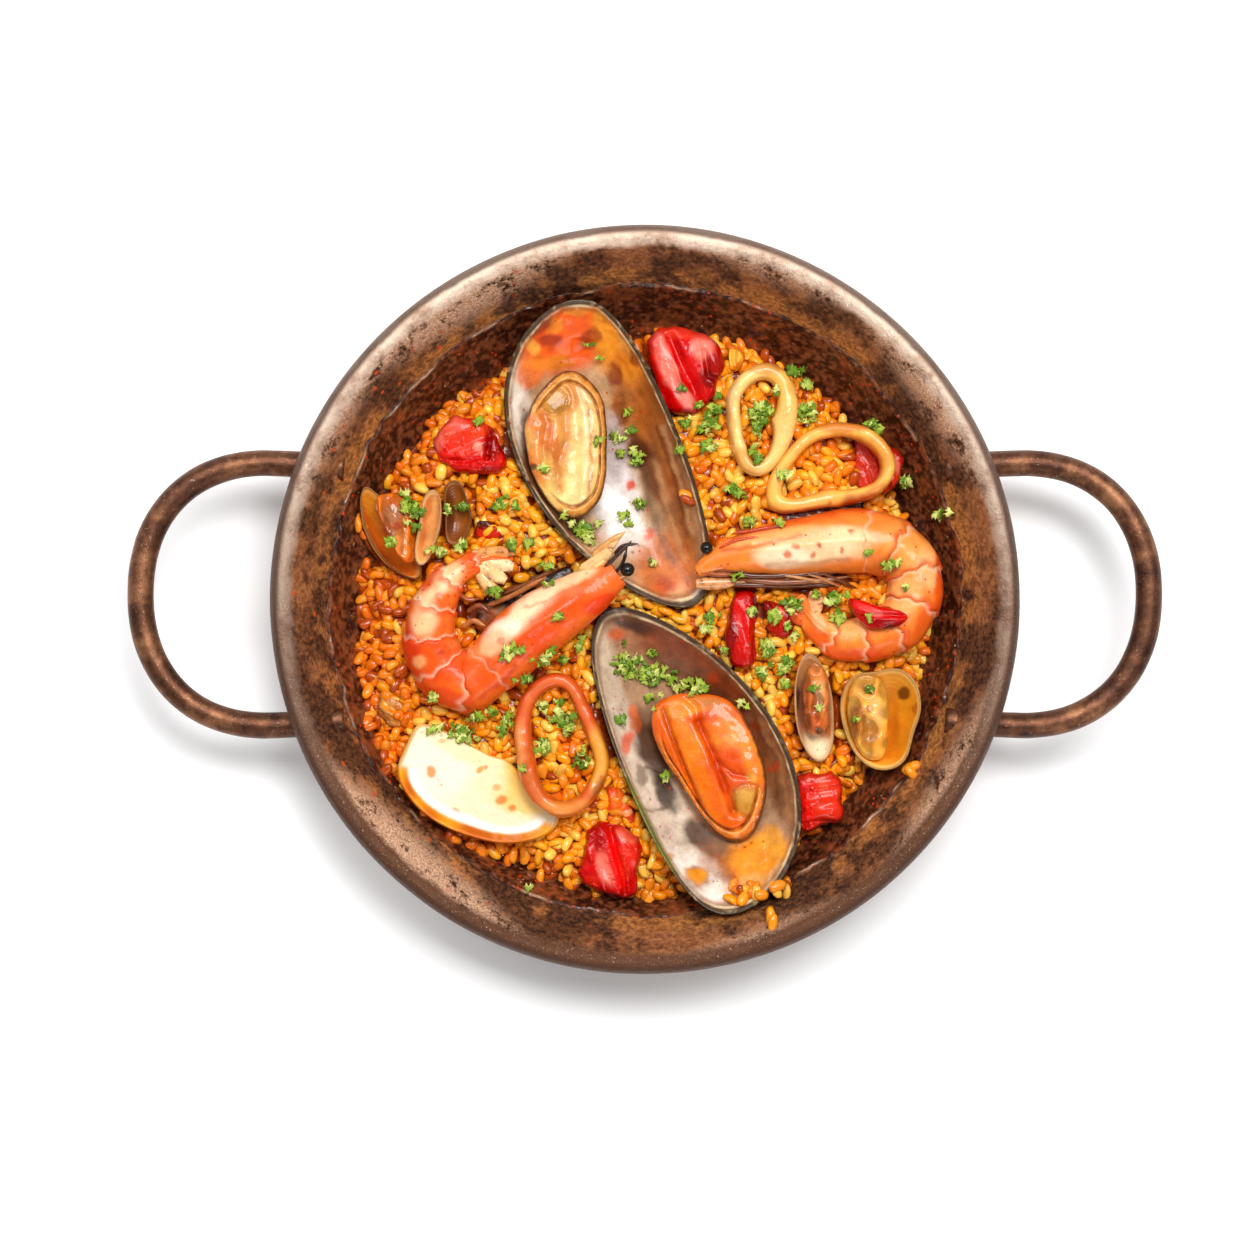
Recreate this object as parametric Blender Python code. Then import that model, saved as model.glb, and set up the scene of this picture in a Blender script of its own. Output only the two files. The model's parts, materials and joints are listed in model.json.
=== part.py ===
# Paella served in its own pan: a two-handled steel pan, a bed of rice, and the mussels,
# clams, prawns, squid rings, lemon and peppers that lie on it. +Z is up, +X runs through
# the handles, and the origin is under the middle of the pan's flat base.
# Lengths are in millimetres until add_solid turns them into metres.

import math

import bmesh
import bpy
import numpy as np
from mathutils import Vector
from mathutils.bvhtree import BVHTree

METRES = 0.001
GAP = 0.45  # air kept between two solids that rest on each other

PAN_RADIUS = 120.0
PAN_HEIGHT = 40.0
PAN_FLOOR = 2.5  # thickness of the base
PAN_WALL = 1.9
PAN_STEPS = 48
LIP_DROP = 5.8  # how far the rolled lip turns down below the rim

ROD_RADIUS = 4.2
HANDLE_CENTRE = 122.0
HANDLE_SHIFT = 1.8
HANDLE_REACH = 40.7
HANDLE_HALF_SPAN = 42.5
HANDLE_POWER = 2.2
HANDLE_ROOT = 94.0
HANDLE_LOW = 25.0
HANDLE_HIGH = 31.0
HANDLE_STEPS = 20
HANDLE_POINTS = 34

RICE_CENTRE = (-1.6, -4.5)
RICE_RADIUS = 96.0
RICE_LEVEL = 15.0
RICE_RINGS = 13
RICE_CLEAR = 7.0  # how far round a piece the rice dips beneath it
RICE_SKIRT = 12.0  # width over which the mound falls to its edge

MUSSEL_LENGTH = 110.5
MUSSEL_BULGE = 35.5
MUSSEL_BACK = 17.0
MUSSEL_DEPTH = 15.5
SHELL_WALL = 1.5
BOWL_POWER = 2.4

RING_WALL = 4.0
RING_HEIGHT = 10.0


def clear_scene():
    for obj in list(bpy.data.objects):
        bpy.data.objects.remove(obj, do_unlink=True)


def make_material(name, colour, roughness, metallic=0.0):
    material = bpy.data.materials.new(name)
    material.use_nodes = True
    shader = material.node_tree.nodes["Principled BSDF"]
    shader.inputs["Base Color"].default_value = (*colour, 1.0)
    shader.inputs["Roughness"].default_value = roughness
    shader.inputs["Metallic"].default_value = metallic
    material.diffuse_color = (*colour, 1.0)
    return material


# A shape is a pair: its points, and its faces as lists of point numbers.


def skin(loops, first_pole=None, last_pole=None, wrap=False):
    """Faces between a stack of loops, each closed; the ends shut to a pole, or wrap to each other."""
    loops = np.asarray(loops, float)
    rows, columns = loops.shape[:2]
    points = loops.reshape(-1, 3)
    step = np.arange(columns)
    following = (step + 1) % columns
    faces = []
    for row in range(rows if wrap else rows - 1):
        low = row * columns
        high = ((row + 1) % rows) * columns
        faces += np.stack([low + step, low + following, high + following, high + step], 1).tolist()
    if not wrap:
        points = np.vstack([points, first_pole, last_pole])
        first, last, top = rows * columns, rows * columns + 1, (rows - 1) * columns
        faces += np.stack([np.full(columns, first), following, step], 1).tolist()
        faces += np.stack([np.full(columns, last), top + step, top + following], 1).tolist()
    return points, faces


def add_solid(name, shape, material):
    points, faces = shape
    mesh = bpy.data.meshes.new(name)
    mesh.from_pydata((points * METRES).tolist(), [], faces)
    solid = bmesh.new()
    solid.from_mesh(mesh)
    bmesh.ops.recalc_face_normals(solid, faces=solid.faces)
    bmesh.ops.triangulate(solid, faces=solid.faces)
    solid.to_mesh(mesh)
    solid.free()
    mesh.shade_smooth()
    mesh.set_sharp_from_angle(angle=math.radians(40))
    mesh.materials.append(material)
    obj = bpy.data.objects.new(name, mesh)
    bpy.context.scene.collection.objects.link(obj)
    return obj


def catmull(before, start, end, after, along):
    return 0.5 * (
        2 * start
        + (end - before) * along
        + (2 * before - 5 * start + 4 * end - after) * along**2
        + (3 * start - before - 3 * end + after) * along**3
    )


def even_steps(dense, count, closed):
    """Points at even distances along a dense run of points."""
    if closed:
        dense = np.vstack([dense, dense[:1]])
    travelled = np.concatenate([[0], np.cumsum(np.linalg.norm(np.diff(dense, axis=0), axis=1))])
    wanted = np.linspace(0, travelled[-1], count, endpoint=not closed)
    return np.stack([np.interp(wanted, travelled, dense[:, axis]) for axis in range(dense.shape[1])], 1)


def smooth_loop(points, count):
    """A closed curve through the points, in even steps."""
    points = np.asarray(points, float)
    along = np.linspace(0, 1, 12, endpoint=False)[None, :, None]
    start = points[:, None]
    others = [np.roll(points, shift, axis=0)[:, None] for shift in (1, -1, -2)]
    dense = catmull(others[0], start, others[1], others[2], along)
    return even_steps(dense.reshape(-1, points.shape[1]), count, True)


def smooth_path(points, count):
    """An open curve through the points, in even steps."""
    points = np.asarray(points, float)
    padded = np.vstack([2 * points[0] - points[1], points, 2 * points[-1] - points[-2]])
    along = np.linspace(0, 1, 12)[None, :, None]
    parts = [padded[first : first + len(points) - 1, None] for first in range(4)]
    return even_steps(catmull(*parts, along).reshape(-1, points.shape[1]), count, False)


def middle_of(outline):
    """The centre of area of a closed outline."""
    x, y = outline[:, 0], outline[:, 1]
    cross = x * np.roll(y, -1) - np.roll(x, -1) * y
    area = cross.sum() / 2
    return np.array([((x + np.roll(x, -1)) * cross).sum(), ((y + np.roll(y, -1)) * cross).sum()]) / (6 * area)


def counter_clockwise(outline):
    x, y = outline[:, 0], outline[:, 1]
    turns_left = (x * np.roll(y, -1) - np.roll(x, -1) * y).sum() > 0
    return outline if turns_left else outline[::-1]


# What lies above or below a point is found by rays against the solids placed so far.


def tree_of(shapes):
    points, faces = [], []
    for shape in shapes:
        faces += [[corner + len(points) for corner in face] for face in shape[1]]
        points += shape[0].tolist()
    return BVHTree.FromPolygons(points, faces)


def disc(reach):
    """Offsets that fill a disc: its middle and rings about 1.2 mm apart."""
    offsets = [(0.0, 0.0)]
    rings = max(1, math.ceil(reach / 1.2))
    for ring in range(1, rings + 1):
        radius = reach * ring / rings
        turns = np.linspace(0, 2 * math.pi, 5 * ring + 3, endpoint=False)
        offsets += [(radius * math.cos(turn), radius * math.sin(turn)) for turn in turns]
    return offsets


def lift_clear(spots, heights, tree, reach):
    """Raises each height above the solids that lie within reach of its spot."""
    raised = np.array(heights, float)
    for index, (x, y) in enumerate(spots):
        for shift_x, shift_y in disc(reach):
            hit = tree.ray_cast(Vector((x + shift_x, y + shift_y, 200)), Vector((0, 0, -1)))[0]
            if hit is not None:
                raised[index] = max(raised[index], hit.z + GAP)
    return raised


def press_under(spots, heights, tree, reach):
    """Lowers each height below the solids that lie within reach of its spot."""
    lowered = np.array(heights, float)
    for index, (x, y) in enumerate(spots):
        for shift_x, shift_y in disc(reach):
            hit = tree.ray_cast(Vector((x + shift_x, y + shift_y, -50)), Vector((0, 0, 1)))[0]
            if hit is not None:
                lowered[index] = min(lowered[index], hit.z - GAP)
    return lowered


def plane(spots, middle, level, tilt):
    """Height of a tilted plane: its level at the middle, and its rise for each mm in X and in Y."""
    return level + (spots[..., 0] - middle[0]) * tilt[0] + (spots[..., 1] - middle[1]) * tilt[1]


def lump(outline, base, crown, tilt=(0, 0), rings=3, steps=18, edge=0.4, roundness=0.5, on=(), reach=2.0):
    """A soft rounded piece over an outline: its top is a dome and its underside a shallow bowl,
    which lifts over whatever it lies on."""
    outline = counter_clockwise(smooth_loop(outline, steps))
    middle = middle_of(outline)
    shares = np.arange(1, rings) / rings
    spots = [middle + share * (outline - middle) for share in shares]
    rim = plane(outline, middle, base + edge * (crown - base), tilt)
    rise = crown - base
    under = [
        plane(spot, middle, 0, tilt) + base + edge * rise * share**3
        for spot, share in zip(spots, shares)
    ]
    over = [
        plane(spot, middle, 0, tilt) + base + rise * (edge + (1 - edge) * (1 - share**3) ** roundness)
        for spot, share in zip(spots, shares)
    ]
    low_pole, high_pole = np.array([base]), np.array([crown])
    if on:
        tree = tree_of(on)
        rim = lift_clear(outline, rim, tree, reach)
        under = [lift_clear(spot, height, tree, reach) for spot, height in zip(spots, under)]
        over = [np.maximum(height, low + 1.0) for height, low in zip(over, under)]
        low_pole = lift_clear([middle], low_pole, tree, reach)
        high_pole = np.maximum(high_pole, low_pole + 1.0)
    loops = [np.column_stack([spot, height]) for spot, height in zip(spots, under)]
    loops.append(np.column_stack([outline, rim]))
    loops += [np.column_stack([spot, height]) for spot, height in zip(spots[::-1], over[::-1])]
    return skin(loops, [*middle, low_pole[0]], [*middle, high_pole[0]])


def bowl(outline, level, depth, tilt=(0, 0), lean=(0, 0), wall=SHELL_WALL, rings=4, middle=None):
    """A shell: two nested bowls that meet at the rim. Depth below the rim goes as 1 - q ** BOWL_POWER,
    with q the share of the way out, and lean slides the deep part sideways."""
    outline = counter_clockwise(outline)
    middle = middle_of(outline) if middle is None else np.asarray(middle, float)
    lean = np.asarray(lean, float)
    spokes = outline - middle
    lengths = np.linalg.norm(spokes, axis=1, keepdims=True)
    inner_spokes = spokes * (1 - wall / lengths)
    shares = np.arange(1, rings + 1) / rings
    loops = []
    for share in shares:
        sink = 1 - share**BOWL_POWER
        spots = middle + share * spokes + lean * sink
        height = plane(middle + share * spokes, middle, level, tilt) - depth * sink
        loops.append(np.column_stack([spots, height]))
    for share in shares[::-1]:
        sink = 1 - share**BOWL_POWER
        spots = middle + share * inner_spokes + lean * sink
        height = plane(middle + share * inner_spokes, middle, level, tilt) - (depth - wall) * sink
        loops.append(np.column_stack([spots, height]))
    deep = middle + lean
    return skin(loops, [*deep, level - depth], [*deep, level - depth + wall])


def stack(outline, layers, level, tilt=(0, 0), steps=28):
    """Copies of one outline, each scaled about its middle and set at its height, joined into a block."""
    outline = counter_clockwise(smooth_loop(outline, steps))
    middle = middle_of(outline)
    loops = []
    for scale, height in layers:
        spots = middle + scale * (outline - middle)
        loops.append(np.column_stack([spots, plane(spots, middle, level + height, tilt)]))
    return skin(loops, [*middle, level + layers[0][1]], [*middle, level + layers[-1][1]])


def tube(route, widths, heights, steps, sides=10, flat_under=0.8):
    """A body along a route of x, y, z points. Widths and heights are half sizes at even shares of the
    way, and flat_under squashes the lower half."""
    path = smooth_path(route, steps)
    share = np.linspace(0, 1, steps)
    half_width = np.interp(share, np.linspace(0, 1, len(widths)), widths)[:, None]
    half_height = np.interp(share, np.linspace(0, 1, len(heights)), heights)[:, None]
    ahead = np.gradient(path[:, :2], axis=0)
    ahead /= np.linalg.norm(ahead, axis=1, keepdims=True)
    turn = np.linspace(0, 2 * math.pi, sides, endpoint=False)
    sideways = half_width * np.cos(turn)
    upward = half_height * np.sin(turn)
    upward = np.where(upward < 0, upward * flat_under, upward)
    loops = np.stack(
        [
            path[:, :1] - ahead[:, 1:] * sideways,
            path[:, 1:2] + ahead[:, :1] * sideways,
            path[:, 2:] + upward,
        ],
        -1,
    )
    return skin(loops, path[0], path[-1])


def ring(outline, level, lean=(0, 0), on=(), steps=24, wall=RING_WALL, height=RING_HEIGHT, sides=6):
    """A cut ring of squid standing on edge: a rounded wall just inside its outline. It sags over what
    it lies on, and lean slides its top sideways."""
    outline = counter_clockwise(smooth_loop(outline, steps))
    ahead = np.roll(outline, -1, axis=0) - np.roll(outline, 1, axis=0)
    ahead /= np.linalg.norm(ahead, axis=1, keepdims=True)
    inward = np.column_stack([-ahead[:, 1], ahead[:, 0]])
    line = outline + inward * wall / 2
    bottoms = np.full(steps, float(level))
    if on:
        bottoms = lift_clear(line, bottoms, tree_of(on), 0.6 * wall)
    for _ in range(3):
        bottoms = np.maximum(bottoms, (np.roll(bottoms, 1) + bottoms + np.roll(bottoms, -1)) / 3)
    turn = (np.arange(sides) + 0.5) / sides * 2 * math.pi
    across = np.sign(np.cos(turn)) * np.abs(np.cos(turn)) ** 0.7 * wall / 2
    rise = (1 + np.sign(np.sin(turn)) * np.abs(np.sin(turn)) ** 0.7) * height / 2
    leaning = np.asarray(lean, float) * (rise / height)[:, None]
    spots = line[:, None] - inward[:, None] * across[:, None] + leaning
    loops = np.concatenate([spots, (bottoms[:, None] + rise)[..., None]], -1)
    return skin(loops, wrap=True)


# The pan and its handles.


def pan_inner_profile():
    """Radius and height of the pan's inside, from the middle of its floor to the crest of its lip."""
    drop = PAN_HEIGHT / 40
    return [
        (0, PAN_FLOOR),
        (84, PAN_FLOOR),
        (89, 3.8 * drop),
        (93, 7 * drop),
        (98, 13 * drop),
        (103, 21 * drop),
        (107, 28 * drop),
        (110.5, 34 * drop),
        (113.3, 38.4 * drop),
        (116, PAN_HEIGHT),
    ]


def pan_outer_profile():
    """The rest of the profile: over the lip, back under it, and down the outside to the base."""
    return [
        (118.6, PAN_HEIGHT - 0.8),
        (PAN_RADIUS, PAN_HEIGHT - 3),
        (PAN_RADIUS, PAN_HEIGHT - LIP_DROP + 0.6),
        (118.8, PAN_HEIGHT - LIP_DROP),
        (117.4, PAN_HEIGHT - LIP_DROP + 1.4),
        (115.2, PAN_HEIGHT - 3.6),
        *[(radius + PAN_WALL, height - 0.8) for radius, height in pan_inner_profile()[-3:3:-1]],
        (90.6, 1.9),
        (86, 0),
        (0, 0),
    ]


def pan_inside_height(radius):
    radii, heights = zip(*pan_inner_profile())
    return np.interp(radius, radii, heights)


def turned(name, profile, material=None):
    """Turns a profile of radius and height round the Z axis."""
    mesh = bpy.data.meshes.new(name)
    points = [(radius * METRES, 0, height * METRES) for radius, height in profile]
    mesh.from_pydata(points, [(step, step + 1) for step in range(len(points) - 1)], [])
    if material is not None:
        mesh.materials.append(material)
    obj = bpy.data.objects.new(name, mesh)
    bpy.context.scene.collection.objects.link(obj)
    screw = obj.modifiers.new("turn", "SCREW")
    screw.steps = PAN_STEPS
    screw.render_steps = PAN_STEPS
    screw.use_merge_vertices = True
    screw.merge_threshold = 0.00001
    screw.use_smooth_shade = True
    return obj


def handle_cutter():
    """The pan's outer body with a gap added, which trims the handles' ends."""
    outside = [(radius + GAP, height) for radius, height in pan_outer_profile()[6:-2]]
    low_radius = outside[-1][0]
    profile = [(0, PAN_HEIGHT - 4), *outside, (low_radius, -1), (0, -1)]
    cutter = turned("handle_cutter", profile)
    cutter.hide_render = True
    cutter.display_type = "WIRE"
    return cutter


def make_handle(name, side, cutter, material):
    """A bent rod: half a superellipse, with two straight leads that end at the pan's wall."""
    turn = np.linspace(-math.pi / 2, math.pi / 2, HANDLE_STEPS)
    power = 2 / HANDLE_POWER
    x = HANDLE_CENTRE + HANDLE_REACH * np.abs(np.cos(turn)) ** power
    y = HANDLE_HALF_SPAN * np.sign(np.sin(turn)) * np.abs(np.sin(turn)) ** power
    x = np.concatenate([[HANDLE_ROOT, 108], x, [108, HANDLE_ROOT]])
    y = np.concatenate([[y[0] + 1.5, y[0] + 0.5], y, [y[-1] - 0.5, y[-1] - 1.5]])
    z = np.interp(x, [HANDLE_ROOT, HANDLE_CENTRE + HANDLE_REACH], [HANDLE_LOW, HANDLE_HIGH])
    route = smooth_path(np.column_stack([side * x, y + HANDLE_SHIFT, z]), HANDLE_POINTS)
    curve = bpy.data.curves.new(name, "CURVE")
    curve.dimensions = "3D"
    spline = curve.splines.new("POLY")
    spline.points.add(len(route) - 1)
    spline.points.foreach_set("co", np.column_stack([route * METRES, np.ones(len(route))]).ravel())
    curve.bevel_depth = ROD_RADIUS * METRES
    curve.bevel_resolution = 2
    curve.use_fill_caps = True
    curve.materials.append(material)
    rod = bpy.data.objects.new(name, curve)
    bpy.context.scene.collection.objects.link(rod)
    mesh = bpy.data.meshes.new_from_object(rod.evaluated_get(bpy.context.evaluated_depsgraph_get()))
    bpy.data.objects.remove(rod)
    mesh.name = name
    solid = bmesh.new()
    solid.from_mesh(mesh)
    bmesh.ops.remove_doubles(solid, verts=solid.verts, dist=0.00001)
    bmesh.ops.recalc_face_normals(solid, faces=solid.faces)
    solid.to_mesh(mesh)
    solid.free()
    handle = bpy.data.objects.new(name, mesh)
    bpy.context.scene.collection.objects.link(handle)
    trim = handle.modifiers.new("trim", "BOOLEAN")
    trim.operation = "DIFFERENCE"
    trim.object = cutter
    return handle


def make_pan():
    steel = make_material("browned_steel", (0.16, 0.10, 0.075), 0.45, 0.8)
    rod_steel = make_material("rod_steel", (0.22, 0.12, 0.08), 0.4, 0.9)
    turned("pan", pan_inner_profile() + pan_outer_profile(), steel)
    cutter = handle_cutter()
    make_handle("handle_right", 1, cutter, rod_steel)
    make_handle("handle_left", -1, cutter, rod_steel)


# The seafood.


def mussel_outline(tip, far_end, bulge_side, steps=28):
    """A mussel's edge from its tip round the bulging side to the wide end and back along its straighter
    side. Widths go as t ** a * (1 - t) ** b along the length, each over its own largest value."""
    tip = np.asarray(tip, float)
    ahead = np.asarray(far_end, float) - tip
    ahead /= np.linalg.norm(ahead)
    across = np.array([-ahead[1], ahead[0]]) * bulge_side
    dense = (1 - np.cos(np.linspace(0, math.pi, 90))) / 2
    bulge = MUSSEL_BULGE * dense**0.75 * (1 - dense) ** 0.5 / 0.4312
    back = -MUSSEL_BACK * dense**0.5 * (1 - dense) ** 0.35 / 0.5623
    along = np.concatenate([dense, dense[-2:0:-1]])
    width = np.concatenate([bulge, back[-2:0:-1]])
    outline = tip + np.outer(along * MUSSEL_LENGTH, ahead) + np.outer(width, across)
    return even_steps(outline, steps, True)


def make_mussels():
    shell = make_material("mussel_shell", (0.72, 0.62, 0.52), 0.3)
    dark = make_material("mussel_outside", (0.09, 0.06, 0.05), 0.35)
    meat = make_material("mussel_meat", (0.85, 0.45, 0.12), 0.35)
    upper = mussel_outline((18, -4), (-27, 99), 1)
    lower = mussel_outline((-14, -1), (32.5, -103), 1)
    upper_shell = bowl(upper, 23.5, MUSSEL_DEPTH, (0.02, 0.1), middle=(-17, 56))
    lower_shell = bowl(lower, 24, MUSSEL_DEPTH, (0.03, -0.12), middle=(18, -58))
    upper_meat = lump(
        [
            (-25, 76), (-38, 62), (-38.5, 48), (-34, 36), (-28, 28), (-21, 26), (-14, 34),
            (-12.5, 48), (-14, 67),
        ],
        10.5, 21.5, (0, 0.03), rings=4, steps=20, edge=0.55, on=[upper_shell],
    )
    lower_meat = lump(
        [
            (3, -34), (13, -30.8), (28, -33), (37, -47), (40, -62), (36, -76), (30, -80), (21, -74),
            (11, -59), (3, -45),
        ],
        9.5, 21.0, (0.02, -0.02), rings=4, steps=22, edge=0.55, on=[lower_shell],
    )
    fragment = lump(
        [(-57, -5), (-50, -13), (-38, -6), (-27, 3), (-21, 13), (-31, 9), (-44, 5)],
        11, 15.5, (0.02, 0), rings=3, steps=16, edge=0.7,
    )
    add_solid("mussel_shell_upper", upper_shell, shell)
    add_solid("mussel_shell_lower", lower_shell, shell)
    add_solid("mussel_meat_upper", upper_meat, meat)
    add_solid("mussel_meat_lower", lower_meat, meat)
    add_solid("mussel_shell_fragment", fragment, dark)
    return {
        "shells": [upper_shell, lower_shell],
        "meats": [upper_meat, lower_meat],
        "fragment": [fragment],
    }


def make_clams():
    shell = make_material("clam_shell", (0.80, 0.55, 0.32), 0.35)
    meat = make_material("clam_meat", (0.75, 0.38, 0.10), 0.3)
    standing = bowl(
        smooth_loop([
            (-92, 39), (-91, 33), (-86, 22), (-80, 12), (-73.5, 5.5), (-73.8, 14), (-78, 24),
            (-85, 32),
        ], 20),
        20.5, 9, (-0.42, 0.02), lean=(-7, -3.5), wall=1.3,
    )
    facing = bowl(
        smooth_loop([
            (-67.2, 36), (-66.6, 27), (-69.5, 16), (-73, 10), (-75.2, 14), (-73.5, 26), (-71.4, 35),
        ], 18),
        22.5, 7, (0.3, 0.05), lean=(2.2, -0.5), wall=1.4, rings=3,
    )
    thin = bowl(
        smooth_loop([
            (-65.4, 37.5), (-60.8, 39.4), (-58, 33), (-56.5, 26), (-59.5, 19), (-64.5, 18),
            (-65.6, 27),
        ], 16),
        18.5, 5, (0.1, 0.1), wall=1.2, rings=3,
    )
    narrow = bowl(
        smooth_loop(
            [
                (53, -16), (49.8, -23), (48.8, -31), (49.4, -40), (52, -48), (57, -54), (61.2, -50),
                (62, -42), (61.6, -32), (58.5, -22),
            ],
            22,
        ),
        20.5, 9.5, (-0.3, 0.05), lean=(-1.5, 0), wall=1.3,
    )
    wide = bowl(
        smooth_loop(
            [
                (68, -24.5), (75, -23.6), (83, -22), (88.4, -27), (90, -35), (87.6, -43),
                (84.5, -53), (77, -55.8), (70, -52), (65.4, -43), (64, -33),
            ],
            24,
        ),
        21.5, 9.5, (0.25, -0.02), lean=(1.5, 0), wall=1.3,
    )
    standing_meat = lump(
        [(-86.5, 31), (-80, 32), (-76.5, 25), (-76.2, 16), (-78.5, 14), (-83, 21)],
        12.5, 19, rings=3, steps=14, edge=0.5, on=[standing, facing],
    )
    narrow_meat = lump(
        [(55.5, -20.5), (52.6, -27), (52.2, -36), (54.5, -42.5), (58.5, -43), (59.8, -36), (59.2, -27)],
        13.5, 23, (-0.1, 0), rings=3, steps=16, edge=0.6, on=[narrow],
    )
    wide_meat = lump(
        [
            (69.5, -27), (75, -26.8), (78.3, -32), (78.5, -41), (77.5, -50), (72.5, -49.5),
            (68.5, -43), (67, -34),
        ],
        13.5, 24, (-0.05, 0), rings=3, steps=18, edge=0.6, on=[wide],
    )
    shells = {
        "clam_shell_standing": standing,
        "clam_shell_facing": facing,
        "clam_shell_thin": thin,
        "clam_shell_narrow": narrow,
        "clam_shell_wide": wide,
    }
    meats = {
        "clam_meat_left": standing_meat,
        "clam_meat_narrow": narrow_meat,
        "clam_meat_wide": wide_meat,
    }
    for name, shape in shells.items():
        add_solid(name, shape, shell)
    for name, shape in meats.items():
        add_solid(name, shape, meat)
    return list(shells.values()) + list(meats.values())


def make_prawns():
    shell = make_material("prawn_shell", (0.90, 0.42, 0.16), 0.35)
    left = tube(
        [
            (-43, 13, 19), (-50, 13.5, 19), (-57, 11.5, 19.5), (-65, 5, 20), (-69.5, -5, 20.5),
            (-69.8, -15, 20.5),
            (-65, -24, 20.5), (-57, -27.5, 21), (-48, -20, 22), (-38, -10.5, 23), (-27, -3, 24),
            (-16, 4, 25.5), (-9, 9, 26.5),
        ],
        [5.8, 5.5, 4.4, 7, 8.4, 9.3, 9.6, 9, 10, 10.6, 10.2, 8.4, 5.5, 2.2],
        [1.6, 2.2, 4, 6.5, 8, 8.8, 9, 8.8, 9, 9, 8.4, 6.5, 4, 1.6],
        22,
    )
    right = tube(
        [
            (17, 9, 24.5), (24, 13, 24), (34, 15.5, 23), (46, 17, 21), (60, 18.8, 20.5),
            (74, 19, 20.5), (85, 14, 20),
            (88.5, 4, 20), (84.5, -6.5, 20), (74, -12, 20), (64, -13, 19.5), (57, -9, 19), (52.5, -4, 19),
        ],
        [2, 5, 7.4, 8.8, 9.4, 10.6, 10.6, 9.4, 9.2, 8.8, 8.4, 7.4, 5.6, 3.2],
        [2, 4.5, 6.5, 8.4, 9.2, 10, 10, 9.2, 9, 8.6, 8, 6, 3.5, 1.8],
        22,
    )
    add_solid("prawn_left", left, shell)
    add_solid("prawn_right", right, shell)
    return [left, right]


def make_lemon():
    peel = make_material("lemon_wedge", (0.95, 0.72, 0.25), 0.4)
    outline = [
        (-73.8, -39.2), (-73.6, -39.6), (-66.5, -42), (-58, -46.5), (-50, -50.8), (-45, -52),
        (-39, -58), (-33, -64), (-27.5, -67.5),
        (-29, -74.8), (-37, -78.5), (-47, -79.4), (-60, -76), (-70, -71), (-77, -64), (-80.9, -56),
        (-77.5, -47.5),
    ]
    layers = [(0.4, -9.5), (0.6, -7.5), (0.82, -4), (0.95, 0), (1.0, 3), (0.965, 5.0), (0.5, 5.6)]
    wedge = stack(outline, layers, 19, (-0.05, 0.02), steps=26)
    add_solid("lemon_wedge", wedge, peel)
    return [wedge]


# Each row is a name, the outline, the heights of underside and crown, the tilt, and the colour.
RED = (0.75, 0.05, 0.02)
ORANGE = (0.85, 0.25, 0.03)
YELLOW = (0.85, 0.50, 0.08)
PEPPERS = [
    ("pepper_top", [
        (0.8, 84.5), (4, 89.5), (12, 88.5), (21, 85.5), (25.5, 80), (25.5, 73.5), (21.5, 66),
        (18, 60.5), (8, 61.5), (4.5, 70),
    ], 12, 22, (0.03, 0), RED),
    ("pepper_chunk_yellow", [(29.5, 83), (32.5, 80), (30.5, 75.5), (27.5, 75),
    (27.3, 80)], 12.5, 18, (0, 0), YELLOW),
    ("pepper_left", [
        (-69.5, 51), (-66.5, 45), (-60, 42), (-51, 41), (-45.5, 43.5), (-46.5, 50), (-49.5, 57),
        (-55, 59), (-63, 61),
    ], 12, 21.5, (0.02, -0.02), RED),
    ("pepper_middle", [
        (30.5, 2.5), (36, 3.2), (37.6, -3), (35.5, -12), (36, -21), (32, -23), (27.5, -18),
        (26.8, -8),
    ], 12, 21, (0, 0), RED),
    ("pepper_charred", [
        (39.3, 0.5), (45, -1.5), (48.5, -5), (48, -10.5), (44.5, -13), (41, -10.5), (39.5, -5),
    ], 12.5, 20, (0, 0), RED),
    ("pepper_right", [
        (48.5, -62), (51.5, -56.5), (57.5, -57), (62.5, -55.5), (64.8, -62), (65.2, -73),
        (58, -73.5), (50.5, -76.5), (50.3, -69),
    ], 12, 21, (0.01, 0), RED),
    ("pepper_bottom", [
        (-19.5, -75), (-13.5, -73), (-8, -74), (-1.2, -79), (-2.5, -88), (-3.6, -97), (-12, -96.5),
        (-21.5, -92), (-20, -83),
    ], 12, 21.5, (0, 0), RED),
    ("pepper_orange", [
        (-11, -61.5), (-6.5, -62.5), (-4.2, -67), (-2.8, -72.5), (-5, -74), (-8.5, -70.3),
        (-13, -69.8),
    ], 12, 18.5, (0, 0), ORANGE),
    ("pepper_ring_side", [
        (68.5, 38), (73, 34.5), (80, 36), (83.2, 37), (85, 44), (83.5, 49.5), (77, 52.5), (71, 55),
        (68, 46),
    ], 11, 16.8, (0, 0), ORANGE),
    ("pepper_small", [
        (-55.5, 20.5), (-55.5, 25.8), (-50.5, 26.4), (-46, 23), (-47.5, 20), (-51.5, 19.3),
    ], 12.5, 18, (0, 0), RED),
]


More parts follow.
